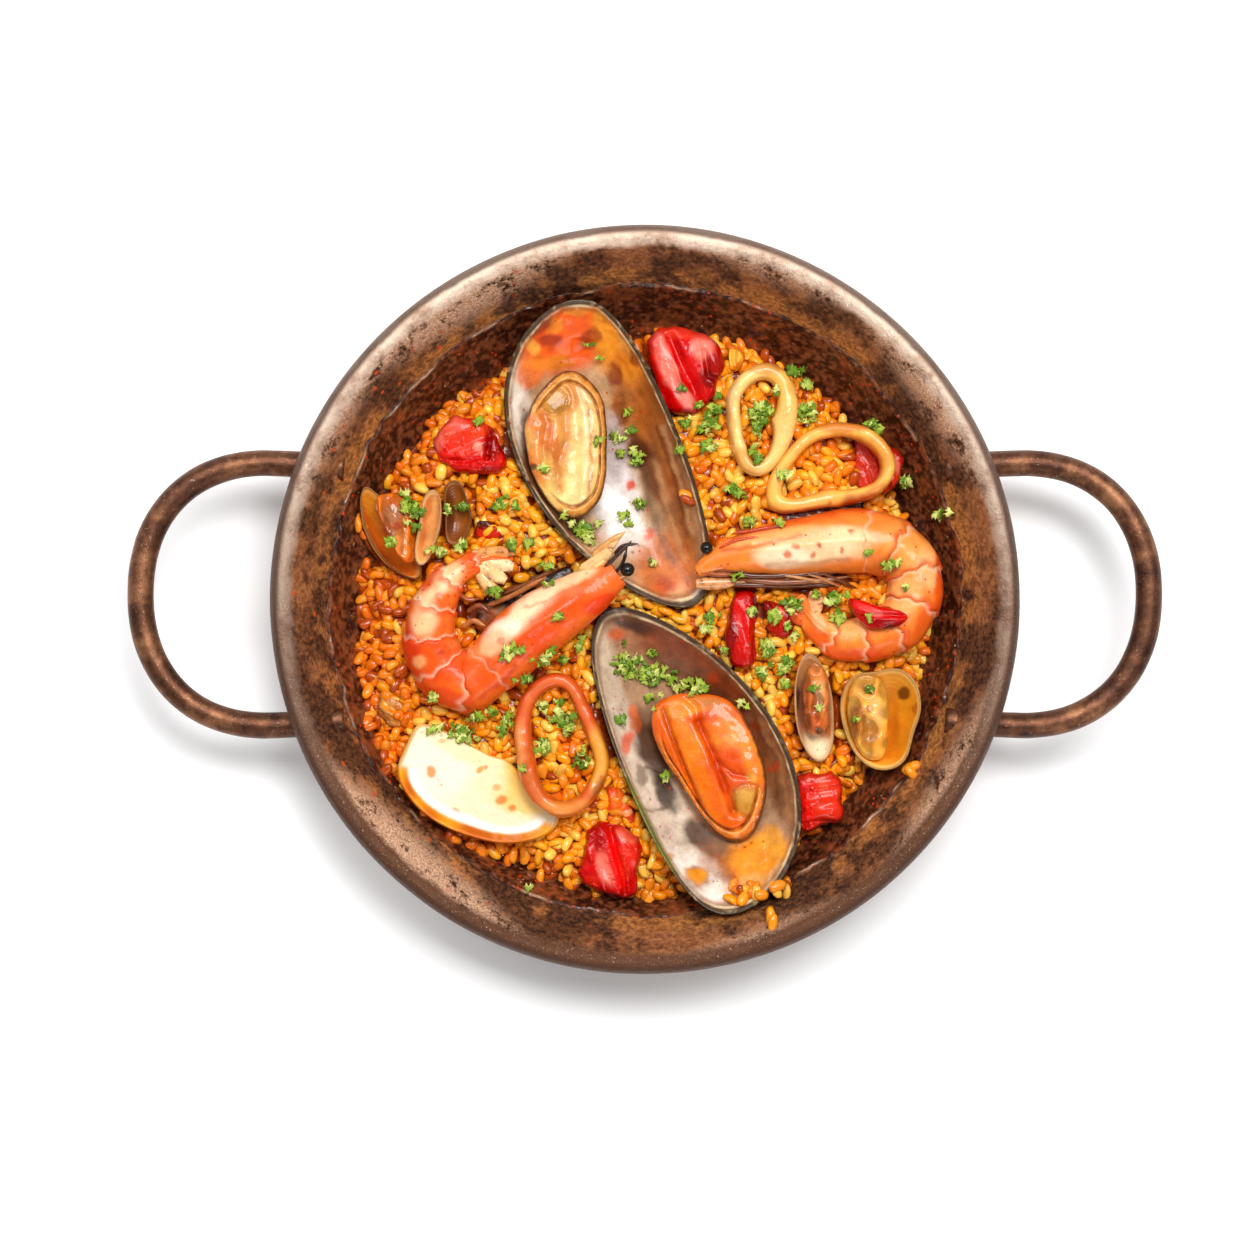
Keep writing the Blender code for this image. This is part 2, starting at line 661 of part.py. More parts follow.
def make_peppers(neighbours):
    placed = []
    for name, outline, base, crown, tilt, colour in PEPPERS:
        shape = lump(outline, base, crown, tilt, rings=3, steps=16, edge=0.55, roundness=0.4)
        add_solid(name, shape, make_material(name, colour, 0.25))
        placed.append(shape)
    strip_colour = make_material("pepper_curl", RED, 0.2)
    strip = lump(
        [(66.5, 0.5), (72, -1), (79, -2.6), (85.5, -4.6), (82, -8.6), (77, -10.2), (71.5, -8), (67, -4)],
        24, 31.5, rings=3, steps=16, edge=0.3, on=neighbours, reach=1.6,
    )
    add_solid("pepper_curl", strip, strip_colour)
    onion = lump(
        [(-87, -31), (-81, -32.5), (-76, -36), (-77.5, -41.5), (-82.5, -42), (-87.5, -38)],
        12, 17.5, rings=3, steps=14, edge=0.5,
    )
    add_solid("onion_strip", onion, make_material("onion", (0.75, 0.5, 0.2), 0.3))
    return placed + [strip, onion]


def make_squid(under_first, under_second, under_third):
    squid = make_material("squid", (0.88, 0.55, 0.32), 0.35)
    first = ring(
        [
            (27.4, 65), (30.5, 71.5), (36, 76), (42, 77), (47, 73.5), (49.8, 67), (49.5, 58),
            (47, 50), (42, 42.5), (36.5, 40.5), (32, 43), (29, 52),
        ],
        12.5, (-0.8, 0.5), under_first, wall=3.8, height=11,
    )
    second = ring(
        [
            (39.5, 34), (41.5, 41.5), (47, 49), (53.5, 55), (62, 57), (71, 55.8), (78, 50),
            (81, 43), (77.5, 35.5), (69, 31.6), (58, 30.4), (47, 28.2), (41, 29.6),
        ],
        12.5, (0.8, 0.8), under_second, wall=3.6, height=10.5,
    )
    third = ring(
        [
            (-29, -23.8), (-35.5, -26.4), (-40.5, -33), (-42, -42), (-41, -52), (-38.5, -61),
            (-33, -68), (-25.5, -70.5), (-18.5, -67.5), (-13.6, -60.5), (-11.6, -52.5), (-14, -44),
            (-18, -35), (-22, -26.5),
        ],
        13.5, (-0.4, 0), under_third, wall=4.2, height=9,
    )
    for name, shape in (("squid_ring_top", first), ("squid_ring_right", second), ("squid_ring_left", third)):
        add_solid(name, shape, squid)
    return [first, second, third]


# The rice.


def rice_edge(turn):
    """Distance of the rice's edge from the mound's centre: a circle with slow and quick waves."""
    waves = 1.6 * np.sin(2 * turn + 0.6) + 1.3 * np.sin(5 * turn + 2.1)
    waves = waves + 0.9 * np.sin(11 * turn) + 0.6 * np.sin(17 * turn + 1)
    return RICE_RADIUS - 2.6 + waves


def rice_level(x, y):
    """Height of the mound before pieces press into it."""
    return RICE_LEVEL + 0.6 * np.sin(x / 9 + 0.5) * np.cos(y / 11) + 0.4 * np.sin(y / 6 + x / 14)


def make_rice(pieces):
    turn = np.linspace(0, 2 * math.pi, PAN_STEPS, endpoint=False)
    direction = np.column_stack([np.cos(turn), np.sin(turn)])
    edge = np.asarray(RICE_CENTRE) + direction * rice_edge(turn)[:, None]
    edge_radius = np.linalg.norm(edge, axis=1)
    edge_height = pan_inside_height(edge_radius + 0.6) + 0.6
    tree = tree_of(pieces)
    loops = []
    for share in (0.5, 0.82, 0.9, 0.96):
        spots = edge * share
        height = pan_inside_height(np.linalg.norm(spots, axis=1) + 0.6) + 0.5
        loops.append(np.column_stack([spots, height]))
    loops.append(np.column_stack([edge, edge_height]))
    for row in range(RICE_RINGS - 1, 0, -1):
        spots = edge * row / RICE_RINGS
        inward = np.clip(edge_radius * (1 - row / RICE_RINGS) / RICE_SKIRT, 0, 1)
        mound = rice_level(spots[:, 0], spots[:, 1])
        height = edge_height + (mound - edge_height) * (1 - (1 - inward) ** 2)
        height = press_under(spots, height, tree, RICE_CLEAR)
        floor = pan_inside_height(np.linalg.norm(spots, axis=1) + 0.6) + 1.2
        loops.append(np.column_stack([spots, np.maximum(height, floor)]))
    top = press_under([(0, 0)], [RICE_LEVEL], tree, RICE_CLEAR)[0]
    rice = skin(loops, [0, 0, PAN_FLOOR + 0.5], [0, 0, top])
    add_solid("rice", rice, make_material("rice", (0.62, 0.30, 0.06), 0.4))


def main():
    clear_scene()
    make_pan()
    mussels = make_mussels()
    clams = make_clams()
    prawns = make_prawns()
    lemon = make_lemon()
    peppers = make_peppers(prawns)
    shells = mussels["shells"]
    squid = make_squid(shells, peppers + prawns, lemon + shells)
    make_rice(shells + mussels["fragment"] + clams + prawns + lemon + peppers + squid)


main()
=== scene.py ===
import json
import math

import bpy
import numpy as np
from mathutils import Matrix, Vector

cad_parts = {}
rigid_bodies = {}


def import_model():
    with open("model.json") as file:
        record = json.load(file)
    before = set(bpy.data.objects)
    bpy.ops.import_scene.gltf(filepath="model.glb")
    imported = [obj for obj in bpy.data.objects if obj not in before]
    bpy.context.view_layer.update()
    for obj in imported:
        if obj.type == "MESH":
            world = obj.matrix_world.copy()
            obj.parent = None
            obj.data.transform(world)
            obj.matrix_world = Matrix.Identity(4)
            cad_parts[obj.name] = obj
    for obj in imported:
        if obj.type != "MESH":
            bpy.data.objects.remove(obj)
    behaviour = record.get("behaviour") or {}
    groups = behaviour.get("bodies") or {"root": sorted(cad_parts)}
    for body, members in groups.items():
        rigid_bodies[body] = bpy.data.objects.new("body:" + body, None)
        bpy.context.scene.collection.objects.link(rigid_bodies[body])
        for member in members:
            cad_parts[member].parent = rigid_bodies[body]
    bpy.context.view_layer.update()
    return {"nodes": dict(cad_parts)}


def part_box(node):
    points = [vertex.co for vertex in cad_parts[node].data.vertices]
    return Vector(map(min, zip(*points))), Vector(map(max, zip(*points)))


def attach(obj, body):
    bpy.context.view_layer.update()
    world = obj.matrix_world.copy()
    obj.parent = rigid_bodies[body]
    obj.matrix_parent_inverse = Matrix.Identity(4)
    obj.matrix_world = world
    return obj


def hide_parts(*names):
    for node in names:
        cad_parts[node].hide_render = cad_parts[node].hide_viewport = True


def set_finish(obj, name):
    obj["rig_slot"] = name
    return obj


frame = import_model()
print("frame loaded:", len(frame["nodes"]), "nodes")

# Shapes are worked out in millimetres; putMesh turns them into metres.
metre = 0.001
turnFull = 2 * math.pi


# Factors and shifts of the hash that noise draws its values from; others would change every pattern.
hashLook = {
    "axes": (73856093, 19349663, 83492791), "seed": 2654435761, "mask": 0x7FFFFFFF, "levels": 65536,
    "rounds": [(13, 1274126177), (16, 668265263)],
    "lastShift": 15,
}


def lookup(seedCells, seed):
    # Pseudo-random number from 0 to 1 for each whole-number cell: an integer hash of its coordinates.
    cells = seedCells.astype(np.int64)
    x, y, z = (cells[..., axis] * hashLook["axes"][axis] for axis in range(3))
    stirred = x ^ y ^ z ^ seed * hashLook["seed"]
    for shift, factor in hashLook["rounds"]:
        stirred = (stirred ^ (stirred >> shift)) * factor & hashLook["mask"]
    return (stirred ^ (stirred >> hashLook["lastShift"])) % hashLook["levels"] / hashLook["levels"]


def noise(points, size, seed=0, octaves=1):
    # Smooth noise from -1 to 1: cell values blended with 3t^2 - 2t^3; each octave has half the size
    # and half the strength of the one before.
    total = np.zeros(points.shape[:-1])
    strength, weight = 0.0, 1.0
    for octave in range(octaves):
        scaled = points / (size / 2**octave) + 37.7 * octave
        corner = np.floor(scaled)
        share = scaled - corner
        share = share * share * (3 - 2 * share)
        value = np.zeros(points.shape[:-1])
        for offset in np.ndindex(2, 2, 2):
            part = np.prod(np.where(np.array(offset) == 1, share, 1 - share), axis=-1)
            value += part * lookup(corner + np.array(offset), seed + octave)
        total += weight * (2 * value - 1)
        strength += weight
        weight *= 0.5
    return total / strength


def smoothStep(low, high, value):
    # 0 below low, 1 above high, and 3t^2 - 2t^3 between.
    share = np.clip((value - low) / (high - low), 0, 1)
    return share * share * (3 - 2 * share)


def spot(points, middle, radii, angle=0.0, soft=0.35):
    # 1 inside an ellipse in plan and 0 outside, softened by a share of its radius; angle in degrees.
    turned = math.radians(angle)
    x = points[..., 0] - middle[0]
    y = points[..., 1] - middle[1]
    along = (x * math.cos(turned) + y * math.sin(turned)) / radii[0]
    across = (y * math.cos(turned) - x * math.sin(turned)) / radii[1]
    return 1 - smoothStep(1 - soft, 1 + soft, np.sqrt(along**2 + across**2))


def mixed(first, second, share):
    # Blend of two colours, or arrays of colours, by a share for each point.
    return np.asarray(first) * (1 - share[..., None]) + np.asarray(second) * share[..., None]


def nodePoints(name):
    # A CAD node's corners and triangles, in mm.
    mesh = frame["nodes"][name].data
    points = np.empty(len(mesh.vertices) * 3, np.float32)
    mesh.vertices.foreach_get("co", points)
    mesh.calc_loop_triangles()
    triangles = np.empty(len(mesh.loop_triangles) * 3, np.int32)
    mesh.loop_triangles.foreach_get("vertices", triangles)
    return points.reshape(-1, 3).astype(float) / metre, triangles.reshape(-1, 3)


def nodeBox(name):
    low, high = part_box(name)
    return np.array(low) / metre, np.array(high) / metre


def shareOfBox(name, shares):
    # Points given as shares of a node's box, in mm.
    low, high = nodeBox(name)
    return low + np.asarray(shares, float) * (high - low)


def placeOn(name, shares):
    # Places in plan given as shares of a node's box, in mm.
    low, high = nodeBox(name)
    return low[:2] + np.array(shares) * (high - low)[:2]


def silhouette(name, count, middle=None, inner=False, crisp=11):
    # Outline of a node in plan: for each direction from its middle, the furthest crossing with an edge,
    # or the nearest one, which is the outline of a ring's hole. A higher crisp keeps more of its corners.
    points, triangles = nodePoints(name)
    edges = np.vstack([triangles[:, [0, 1]], triangles[:, [1, 2]], triangles[:, [2, 0]]])
    if middle is None:
        low, high = points.min(0)[:2], points.max(0)[:2]
        middle = (low + high) / 2
    middle = np.asarray(middle, float)[:2]
    start = points[edges[:, 0], :2] - middle
    step = points[edges[:, 1], :2] - middle - start
    angle = np.linspace(0, turnFull, count, endpoint=False)
    way = np.column_stack([np.cos(angle), np.sin(angle)])
    cross = way[:, :1] * step[:, 1] - way[:, 1:] * step[:, 0]
    cross = np.where(np.abs(cross) < 1e-9, 1e-9, cross)
    distance = (start[:, 0] * step[:, 1] - start[:, 1] * step[:, 0]) / cross
    share = (start[:, 0] * way[:, 1:] - start[:, 1] * way[:, :1]) / cross
    met = (share >= -1e-6) & (share <= 1 + 1e-6) & (distance > 0)
    reach = np.where(met, distance, 1e3).min(1) if inner else np.where(met, distance, 0).max(1)
    for _ in range(count // crisp):
        reach = (np.roll(reach, 1) + 2 * reach + np.roll(reach, -1)) / 4
    return middle, middle + way * reach[:, None]


def evenPath(points, count):
    # Even steps along a smooth open curve through a few points (Catmull-Rom).
    points = np.asarray(points, float)
    padded = np.vstack([2 * points[0] - points[1], points, 2 * points[-1] - points[-2]])
    t = np.linspace(0, 1, 24)[None, :, None]
    before, start, end, after = [padded[first : first + len(points) - 1, None] for first in range(4)]
    dense = 0.5 * (
        2 * start + (end - before) * t + (2 * before - 5 * start + 4 * end - after) * t**2
        + (3 * start - before - 3 * end + after) * t**3
    )
    return evenSteps(dense.reshape(-1, points.shape[1]), count)


def evenSteps(dense, count):
    travelled = np.concatenate([[0], np.cumsum(np.linalg.norm(np.diff(dense, axis=0), axis=1))])
    wanted = np.linspace(0, travelled[-1], count)
    return np.stack([np.interp(wanted, travelled, dense[:, axis]) for axis in range(dense.shape[1])], 1)


# Meshes. A surface is a grid of closed loops; its ends shut to poles, or its last loop joins its first.


def loopFaces(rows, columns, ring=False):
    step = np.arange(columns)
    after = (step + 1) % columns
    row = np.arange(rows if ring else rows - 1)[:, None]
    low = row * columns
    high = (row + 1) % rows * columns
    return np.stack([low + step, low + after, high + after, high + step], -1).reshape(-1, 4)


def closedFaces(rows, columns):
    # Quads between a stack of loops, and the triangles that shut both ends to a pole.
    step = np.arange(columns)
    after = (step + 1) % columns
    first, last, top = rows * columns, rows * columns + 1, (rows - 1) * columns
    start = np.stack([np.full(columns, first), after, step], 1)
    end = np.stack([np.full(columns, last), top + step, top + after], 1)
    return loopFaces(rows, columns), np.vstack([start, end])


def withPoles(grids):
    # Corners of one or many stacks of loops, each with its two poles added.
    flat = grids.reshape(*grids.shape[:-3], -1, 3)
    start, end = (grids[..., row, :, :].mean(-2)[..., None, :] for row in (0, -1))
    return np.concatenate([flat, start, end], -2)


def putMesh(name, points, quads, triangles, colours=None, smooth=True):
    # A new mesh object from arrays: corners in mm, quads and triangles, and a colour for each corner.
    # Faces are turned over if the volume they enclose comes out negative.
    points = np.asarray(points, float)
    fours = np.reshape(quads, (-1, 4))
    fans = np.vstack([np.reshape(triangles, (-1, 3)), fours[:, :3], fours[:, [0, 2, 3]]])
    first, second, third = (points[fans[:, corner]] for corner in range(3))
    if (first * np.cross(second, third)).sum() < 0:
        quads, triangles = np.asarray(quads)[:, ::-1], np.asarray(triangles)[:, ::-1]
    mesh = bpy.data.meshes.new(name)
    faces = len(quads) + len(triangles)
    mesh.vertices.add(len(points))
    mesh.vertices.foreach_set("co", (points * metre).ravel())
    mesh.loops.add(4 * len(quads) + 3 * len(triangles))
    corners = np.concatenate([np.asarray(quads, int).ravel(), np.asarray(triangles, int).ravel()])
    mesh.loops.foreach_set("vertex_index", corners)
    mesh.polygons.add(faces)
    starts = np.concatenate([4 * np.arange(len(quads)), 4 * len(quads) + 3 * np.arange(len(triangles))])
    mesh.polygons.foreach_set("loop_start", starts)
    mesh.update(calc_edges=True)
    mesh.validate()
    mesh.polygons.foreach_set("use_smooth", np.full(len(mesh.polygons), smooth))
    if colours is not None:
        paint = mesh.color_attributes.new("paint", "FLOAT_COLOR", "POINT")
        filled = np.ones((len(points), 4))
        filled[:, : colours.shape[-1]] = colours
        paint.data.foreach_set("color", filled.ravel())
    piece = bpy.data.objects.new(name, mesh)
    bpy.context.scene.collection.objects.link(piece)
    return piece


def putSurface(name, grid, colours=None, ring=False):
    # A closed surface from a grid of loops. Loops run counter-clockwise and climb, so faces look outwards.
    rows, columns = grid.shape[:2]
    if ring:
        quads, noTriangles = loopFaces(rows, columns, True), np.zeros((0, 3), int)
        return putMesh(name, grid.reshape(-1, 3), quads, noTriangles, colours.reshape(-1, 3))
    quads, triangles = closedFaces(rows, columns)
    return putMesh(name, withPoles(grid), quads, triangles, None if colours is None else withPoles(colours))


def finishPiece(piece, material, slot, *nodes):
    piece.data.materials.append(material)
    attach(piece, "root")
    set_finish(piece, slot)
    if nodes:
        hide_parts(*nodes)
    return piece


# Shader maths: a Wire is a socket that can be added, multiplied and so on.


class Wire:
    def __init__(self, maker, socket):
        self.maker = maker
        self.socket = socket

    def maths(self, operation, other=0.0, swap=False):
        values = (other, self) if swap else (self, other)
        return self.maker.node("ShaderNodeMath", {"operation": operation}, {0: values[0], 1: values[1]})

    def __add__(self, other):
        return self.maths("ADD", other)

    def __sub__(self, other):
        return self.maths("SUBTRACT", other)

    def __rsub__(self, other):
        return self.maths("SUBTRACT", other, True)

    def __mul__(self, other):
        return self.maths("MULTIPLY", other)

    __radd__ = __add__
    __rmul__ = __mul__

    def between(self, low, high):
        # 0 at low, 1 at high, smooth between.
        settings = {"interpolation_type": "SMOOTHSTEP"}
        return self.maker.node("ShaderNodeMapRange", settings, {0: self, 1: low, 2: high})


class Finish:
    def __init__(self, name):
        self.material = bpy.data.materials.new(name)
        self.material.use_nodes = True
        self.tree = self.material.node_tree
        self.shader = self.tree.nodes["Principled BSDF"]
        self.place = self.node("ShaderNodeTexCoord", output="Object")

    def node(self, kind, settings=None, inputs=None, output=0):
        made = self.tree.nodes.new(kind)
        for key, value in (settings or {}).items():
            if key == "stops":
                ramp = made.color_ramp.elements
                while len(ramp) < len(value):
                    ramp.new(0.5)
                for element, (position, colour) in zip(ramp, value):
                    element.position = position
                    element.color = (*colour, 1)
            else:
                setattr(made, key, value)
        for key, value in (inputs or {}).items():
            self.feed(made.inputs[key], value)
        return Wire(self, made.outputs[output])

    def feed(self, socket, value):
        if isinstance(value, Wire):
            self.tree.links.new(value.socket, socket)
        elif isinstance(value, (tuple, list)) and len(value) == 3 and socket.type == "RGBA":
            socket.default_value = (*value, 1)
        else:
            socket.default_value = value

    def noise(self, size, detail=3, rough=0.55):
        # Noise from 0 to 1 whose largest features measure size mm.
        inputs = {"Vector": self.place, "Scale": 1 / (size * metre), "Detail": detail, "Roughness": rough}
        return self.node("ShaderNodeTexNoise", None, inputs)

    def cells(self, size):
        # Distance to the nearest of scattered points, about size mm apart.
        inputs = {"Vector": self.place, "Scale": 1 / (size * metre)}
        return self.node("ShaderNodeTexVoronoi", {"feature": "F1"}, inputs, "Distance")

    def blend(self, share, first, second, kind="MIX"):
        settings = {"data_type": "RGBA", "blend_type": kind}
        return self.node("ShaderNodeMix", settings, {0: share, 6: first, 7: second}, 2)

    def ramp(self, value, *stops):
        return self.node("ShaderNodeValToRGB", {"stops": stops}, {0: value})

    def paint(self):
        return self.node("ShaderNodeAttribute", {"attribute_name": "paint"}, output="Color")

    def axes(self):
        # The place's X, Y and Z, in mm.
        split = self.node("ShaderNodeSeparateXYZ", None, {0: self.place}).socket.node
        return [Wire(self, split.outputs[axis]) * (1 / metre) for axis in range(3)]

    def bump(self, height, depth, strength=1.0, normal=None):
        # A bump whose relief is depth mm for a height from 0 to 1.
        inputs = {"Height": height, "Distance": depth * metre, "Strength": strength}
        if normal is not None:
            inputs["Normal"] = normal
        return self.node("ShaderNodeBump", None, inputs)

    def set(self, **values):
        for key, value in values.items():
            self.feed(self.shader.inputs[key.replace("_", " ")], value)
        return self.material


# The pan.

panLook = {
    "columns": 288, "rows": 420, "wall": 1.9,
    "inner": [
        (0.5, 2.5), (50, 2.5), (83, 2.5), (89, 3.8), (93, 7), (98, 13), (103, 21), (107, 28), (110.5, 34),
        (113.3, 38.2),
    ],
    "crest": [
        (115.2, 0.2), (116.6, 0), (118.6, 0.7), (None, 2.8), (None, 4.6), (118.9, 5.7), (117.5, 4.6),
        (115.4, 3.8),
    ],
    "underside": [(90.8, 2.2), (88, 0.35), (85, 0.0), (60, 0.0), (0.5, 0.0)],
    "scale": [(122, 104), (150, 108), (228, 103), (35, 106), (68, 108), (330, 107), (290, 109)],
}


def panProfile():
    # Radius and height round the pan's section, from the middle of its floor over the lip and back
    # under. A place on the crest is a radius and a drop from the top; None is the box's own edge.
    low, high = nodeBox("pan")
    rim, tall = high[0], high[2]
    crest = [(rim if radius is None else radius, tall - drop) for radius, drop in panLook["crest"]]
    outer = [(radius + panLook["wall"], height - 0.8) for radius, height in panLook["inner"][-2:4:-1]]
    return evenPath(panLook["inner"] + crest + outer + panLook["underside"], panLook["rows"])


def makePan():
    profile = panProfile()
    angle = np.linspace(0, turnFull, panLook["columns"], endpoint=False)
    radius, height = profile[:, :1], profile[:, 1:]
    grid = np.stack([radius * np.cos(angle), radius * np.sin(angle), height + 0 * angle], -1)
    # Runs outwards over the inside and back under, so loops climb outwards: reversed to face out.
    dents = noise(grid, 34, 3, 2)[..., None] * np.array([0.16, 0.16, 0.0])
    grid = grid + dents * smoothStep(90, 105, radius)[..., None]
    piece = putSurface("pan_body", grid[::-1])
    return finishPiece(piece, panFinish(), "browned_steel", "pan")


def panFinish():
    look = Finish("panSteel")
    x, y, z = look.axes()
    radius = (x * x + y * y).maths("SQRT")
    rough = look.noise(9, 5, 0.65)
    fine = look.noise(1.6, 4, 0.7)
    broad = look.noise(30, 3, 0.6)
    grit = look.noise(0.7, 3, 0.8)
    dark = look.blend(fine.between(0.35, 0.7), (0.022, 0.008, 0.004), (0.17, 0.060, 0.022))
    rust = look.blend(fine.between(0.3, 0.7), (0.17, 0.050, 0.014), (0.42, 0.165, 0.060))
    wall = look.blend((broad * 0.5 + rough * 0.5).between(0.45, 0.58), dark, rust)
    # Pale tan scale, high on the wall in a few directions.
    scale = 0
    for turn, start in panLook["scale"]:
        toward = x * math.cos(math.radians(turn)) + y * math.sin(math.radians(turn))
        scale = toward.between(start, start + 7) + scale
    high = (radius + rough * 12).between(107, 110)
    tan = look.blend(grit.between(0.35, 0.7), (0.38, 0.18, 0.085), (0.86, 0.58, 0.40))
    patchy = (rough * 0.6 + fine * 0.4).between(0.4, 0.5)
    wall = look.blend(scale.maths("MINIMUM", 1.0) * high * patchy, wall, tan)
    # The lip's tones are painted light: dark at the front and light towards the back, where the key lamp's
    # sheen falls; noise mixes the two tones in patches.
    litTowardBack = y.between(-75, 135)
    paleLipLitAtBack = look.blend(litTowardBack, (0.12, 0.046, 0.020), (0.90, 0.70, 0.54))
    darkLipLitAtBack = look.blend(litTowardBack, (0.075, 0.029, 0.013), (0.38, 0.20, 0.12))
    lipTone = look.blend(rough.between(0.25, 0.62), darkLipLitAtBack, paleLipLitAtBack)
    lipTone = look.blend(grit.between(0.6, 0.72) * 0.6, lipTone, (0.86, 0.72, 0.58))
    lip = (radius + rough * 3).between(113.8, 116.2) * (z.between(33, 36))
    tone = look.blend(lip, wall, lipTone)
    stain = (radius + rough * 4).between(101, 104) * (1 - (radius + rough * 4).between(108, 111))
    golden = look.blend(fine.between(0.35, 0.65), (0.22, 0.075, 0.015), (0.66, 0.25, 0.05))
    tone = look.blend(stain * (rough * 0.5 + broad * 0.5).between(0.46, 0.6) * 0.75, tone, golden)
    # The lip's outer face is painted dark all round, as painted shade where it turns sideways and down.
    edge = (radius + rough * 2.2).between(117.6, 119.2)
    tone = look.blend(edge * 0.85, tone, (0.085, 0.034, 0.018))
    speck = look.cells(5.5)
    speck = (1 - speck.between(0.12, 0.18)) * look.noise(20, 2).between(0.4, 0.5)
    speck = speck * (1 - lip) * (x * -1).between(0, 60)
    tone = look.blend(speck * 0.9, tone, (0.62, 0.075, 0.008))
    relief = look.bump(grit * 0.5 + fine, 0.7, 0.8)
    relief = look.bump(rough * (1 - lip), 1.1, 0.6, relief)
    look.set(Base_Color=tone, Metallic=lip * 0.35 + 0.15, Normal=relief, Specular_IOR_Level=0.3)
    return look.set(Roughness=0.34 + rough * 0.3 - lip * 0.08)


handleLook = {"steps": 150, "sides": 28, "power": 2.2}


def makeHandle(node, side):
    # A rod swept along half of |x/a|^p + |y/b|^p = 1, with leads that run in under the rim.
    low, high = nodeBox(node)
    rod = 4.2
    panEdge = nodeBox("pan")[1][0]
    centre = panEdge + 2
    reach = max(abs(low[0]), abs(high[0])) - centre - rod
    shift = 1.8
    half = high[1] - shift - rod
    turn = np.linspace(-math.pi / 2, math.pi / 2, 40)
    power = 2 / handleLook["power"]
    x = centre + reach * np.abs(np.cos(turn)) ** power
    y = half * np.sign(np.sin(turn)) * np.abs(np.sin(turn)) ** power
    x = np.concatenate([[97.5, 109], x, [109, 97.5]])
    y = np.concatenate([[y[0] + 1.5, y[0] + 0.5], y, [y[-1] - 0.5, y[-1] - 1.5]])
    z = np.interp(x, [94.0, centre + reach], [25.0, 31.0])
    path = evenPath(np.column_stack([side * x, y + shift, z]), handleLook["steps"])
    ahead = np.gradient(path, axis=0)
    ahead /= np.linalg.norm(ahead, axis=1, keepdims=True)
    sideways = np.cross(ahead, [0, 0, 1.0])
    sideways /= np.linalg.norm(sideways, axis=1, keepdims=True)
    up = np.cross(sideways, ahead)
    angle = np.linspace(0, turnFull, handleLook["sides"], endpoint=False)
    around = sideways[:, None] * np.cos(angle)[:, None] + up[:, None] * np.sin(angle)[:, None]
    grid = path[:, None] + rod * around
    grid = grid + (grid - path[:, None]) * noise(grid, 14, 8, 3)[..., None] * 0.035
    return putSurface("rod_" + node, grid[:, ::-1])


def rodFinish():
    look = Finish("rodSteel")
    rough = look.noise(6, 5, 0.65)
    fine = look.noise(0.9, 4, 0.7)
    broad = look.noise(22, 2)
    stops = (0.36, (0.04, 0.014, 0.007)), (0.5, (0.12, 0.044, 0.02)), (0.64, (0.30, 0.13, 0.06))
    tone = look.ramp(rough * 0.6 + broad * 0.4, *stops)
    tone = look.blend(fine.between(0.6, 0.72) * 0.7, tone, (0.46, 0.29, 0.20))
    relief = look.bump(fine + rough * 0.5, 0.25, 0.6)
    return look.set(Base_Color=tone, Metallic=0.75, Roughness=0.28 + rough * 0.3, Normal=relief)


makePan()
rodSteel = rodFinish()
for handleNode, handleSide in (("handle_right", 1), ("handle_left", -1)):
    finishPiece(makeHandle(handleNode, handleSide), rodSteel, "rod_steel", handleNode)
print("pan and handles made")




# Food: shapes that all the pieces share.


def rgb(red, green, blue):
    # Colours from 0 to 255 as they look under the lamps, turned to linear values: ((v + 0.055) / 1.055)
    # to the power of 3, which is deeper than the display's own 2.4 to make up for white reflections.
    share = np.array([red, green, blue]) / 255
    return ((share + 0.055) / 1.055) ** 3 / 1.1


def lineDistance(points, line):
    # Distance in plan from each point to a run of straight pieces.
    start, step = line[:-1, :2], np.diff(line[:, :2], axis=0)
    offset = points[..., None, :2] - start
    share = np.clip((offset * step).sum(-1) / (step**2).sum(-1), 0, 1)
    return np.linalg.norm(offset - share[..., None] * step, axis=-1).min(-1)


def wandering(points, ragged, seed):
    # Points moved sideways by noise, so that what is painted round them gets ragged edges.
    moved = np.array(points[..., :2])
    for axis in range(2):
        moved[..., axis] += ragged * noise(points, 5, seed + axis, 3)
    return moved


def painted(points, name, base, dabs=(), streaks=(), ragged=1.5, seed=40):
    # A base colour with dabs and streaks of others laid over it in turn. A dab is red, green, blue, a
    # place x, y as shares of the node's box, two radii in mm, a turn in degrees and a strength. A streak
    # is a colour, a line of places, a width in mm and a strength; it fades as exp(-(distance / width)^2).
    colours = np.ones((*points.shape[:-1], 3)) * base
    moved = wandering(points, ragged, seed)
    for *colour, x, y, along, across, turn, strength in dabs:
        middle = placeOn(name, (x, y))
        colours = mixed(colours, rgb(*colour), spot(moved, middle, (along, across), turn) * strength)
    for colour, line, width, strength in streaks:
        line = placeOn(name, line)
        colours = mixed(colours, colour, np.exp(-((lineDistance(moved, line) / width) ** 2)) * strength)
    return colours


def mottled(colours, points, size, amount, seed=60):
    # Colours made lighter and darker in patches of a size in mm.
    return colours * (1 + amount * noise(points, size, seed, 3))[..., None]


def rimPlane(name, middle, outline):
    # The plane z = a + b x + c y nearest to the corners that lie on a node's outline.
    points = nodePoints(name)[0]
    spokes = points[:, :2] - middle
    reach = np.linalg.norm(outline - middle, axis=1)
    angle = np.arctan2(spokes[:, 1], spokes[:, 0]) % turnFull
    edge = np.interp(angle, np.linspace(0, turnFull, len(reach) + 1), np.append(reach, reach[0]))
    rim = points[np.linalg.norm(spokes, axis=1) > 0.96 * edge]
    terms = np.column_stack([np.ones(len(rim)), rim[:, :2] - middle])
    return np.linalg.lstsq(terms, rim[:, 2], rcond=None)[0]


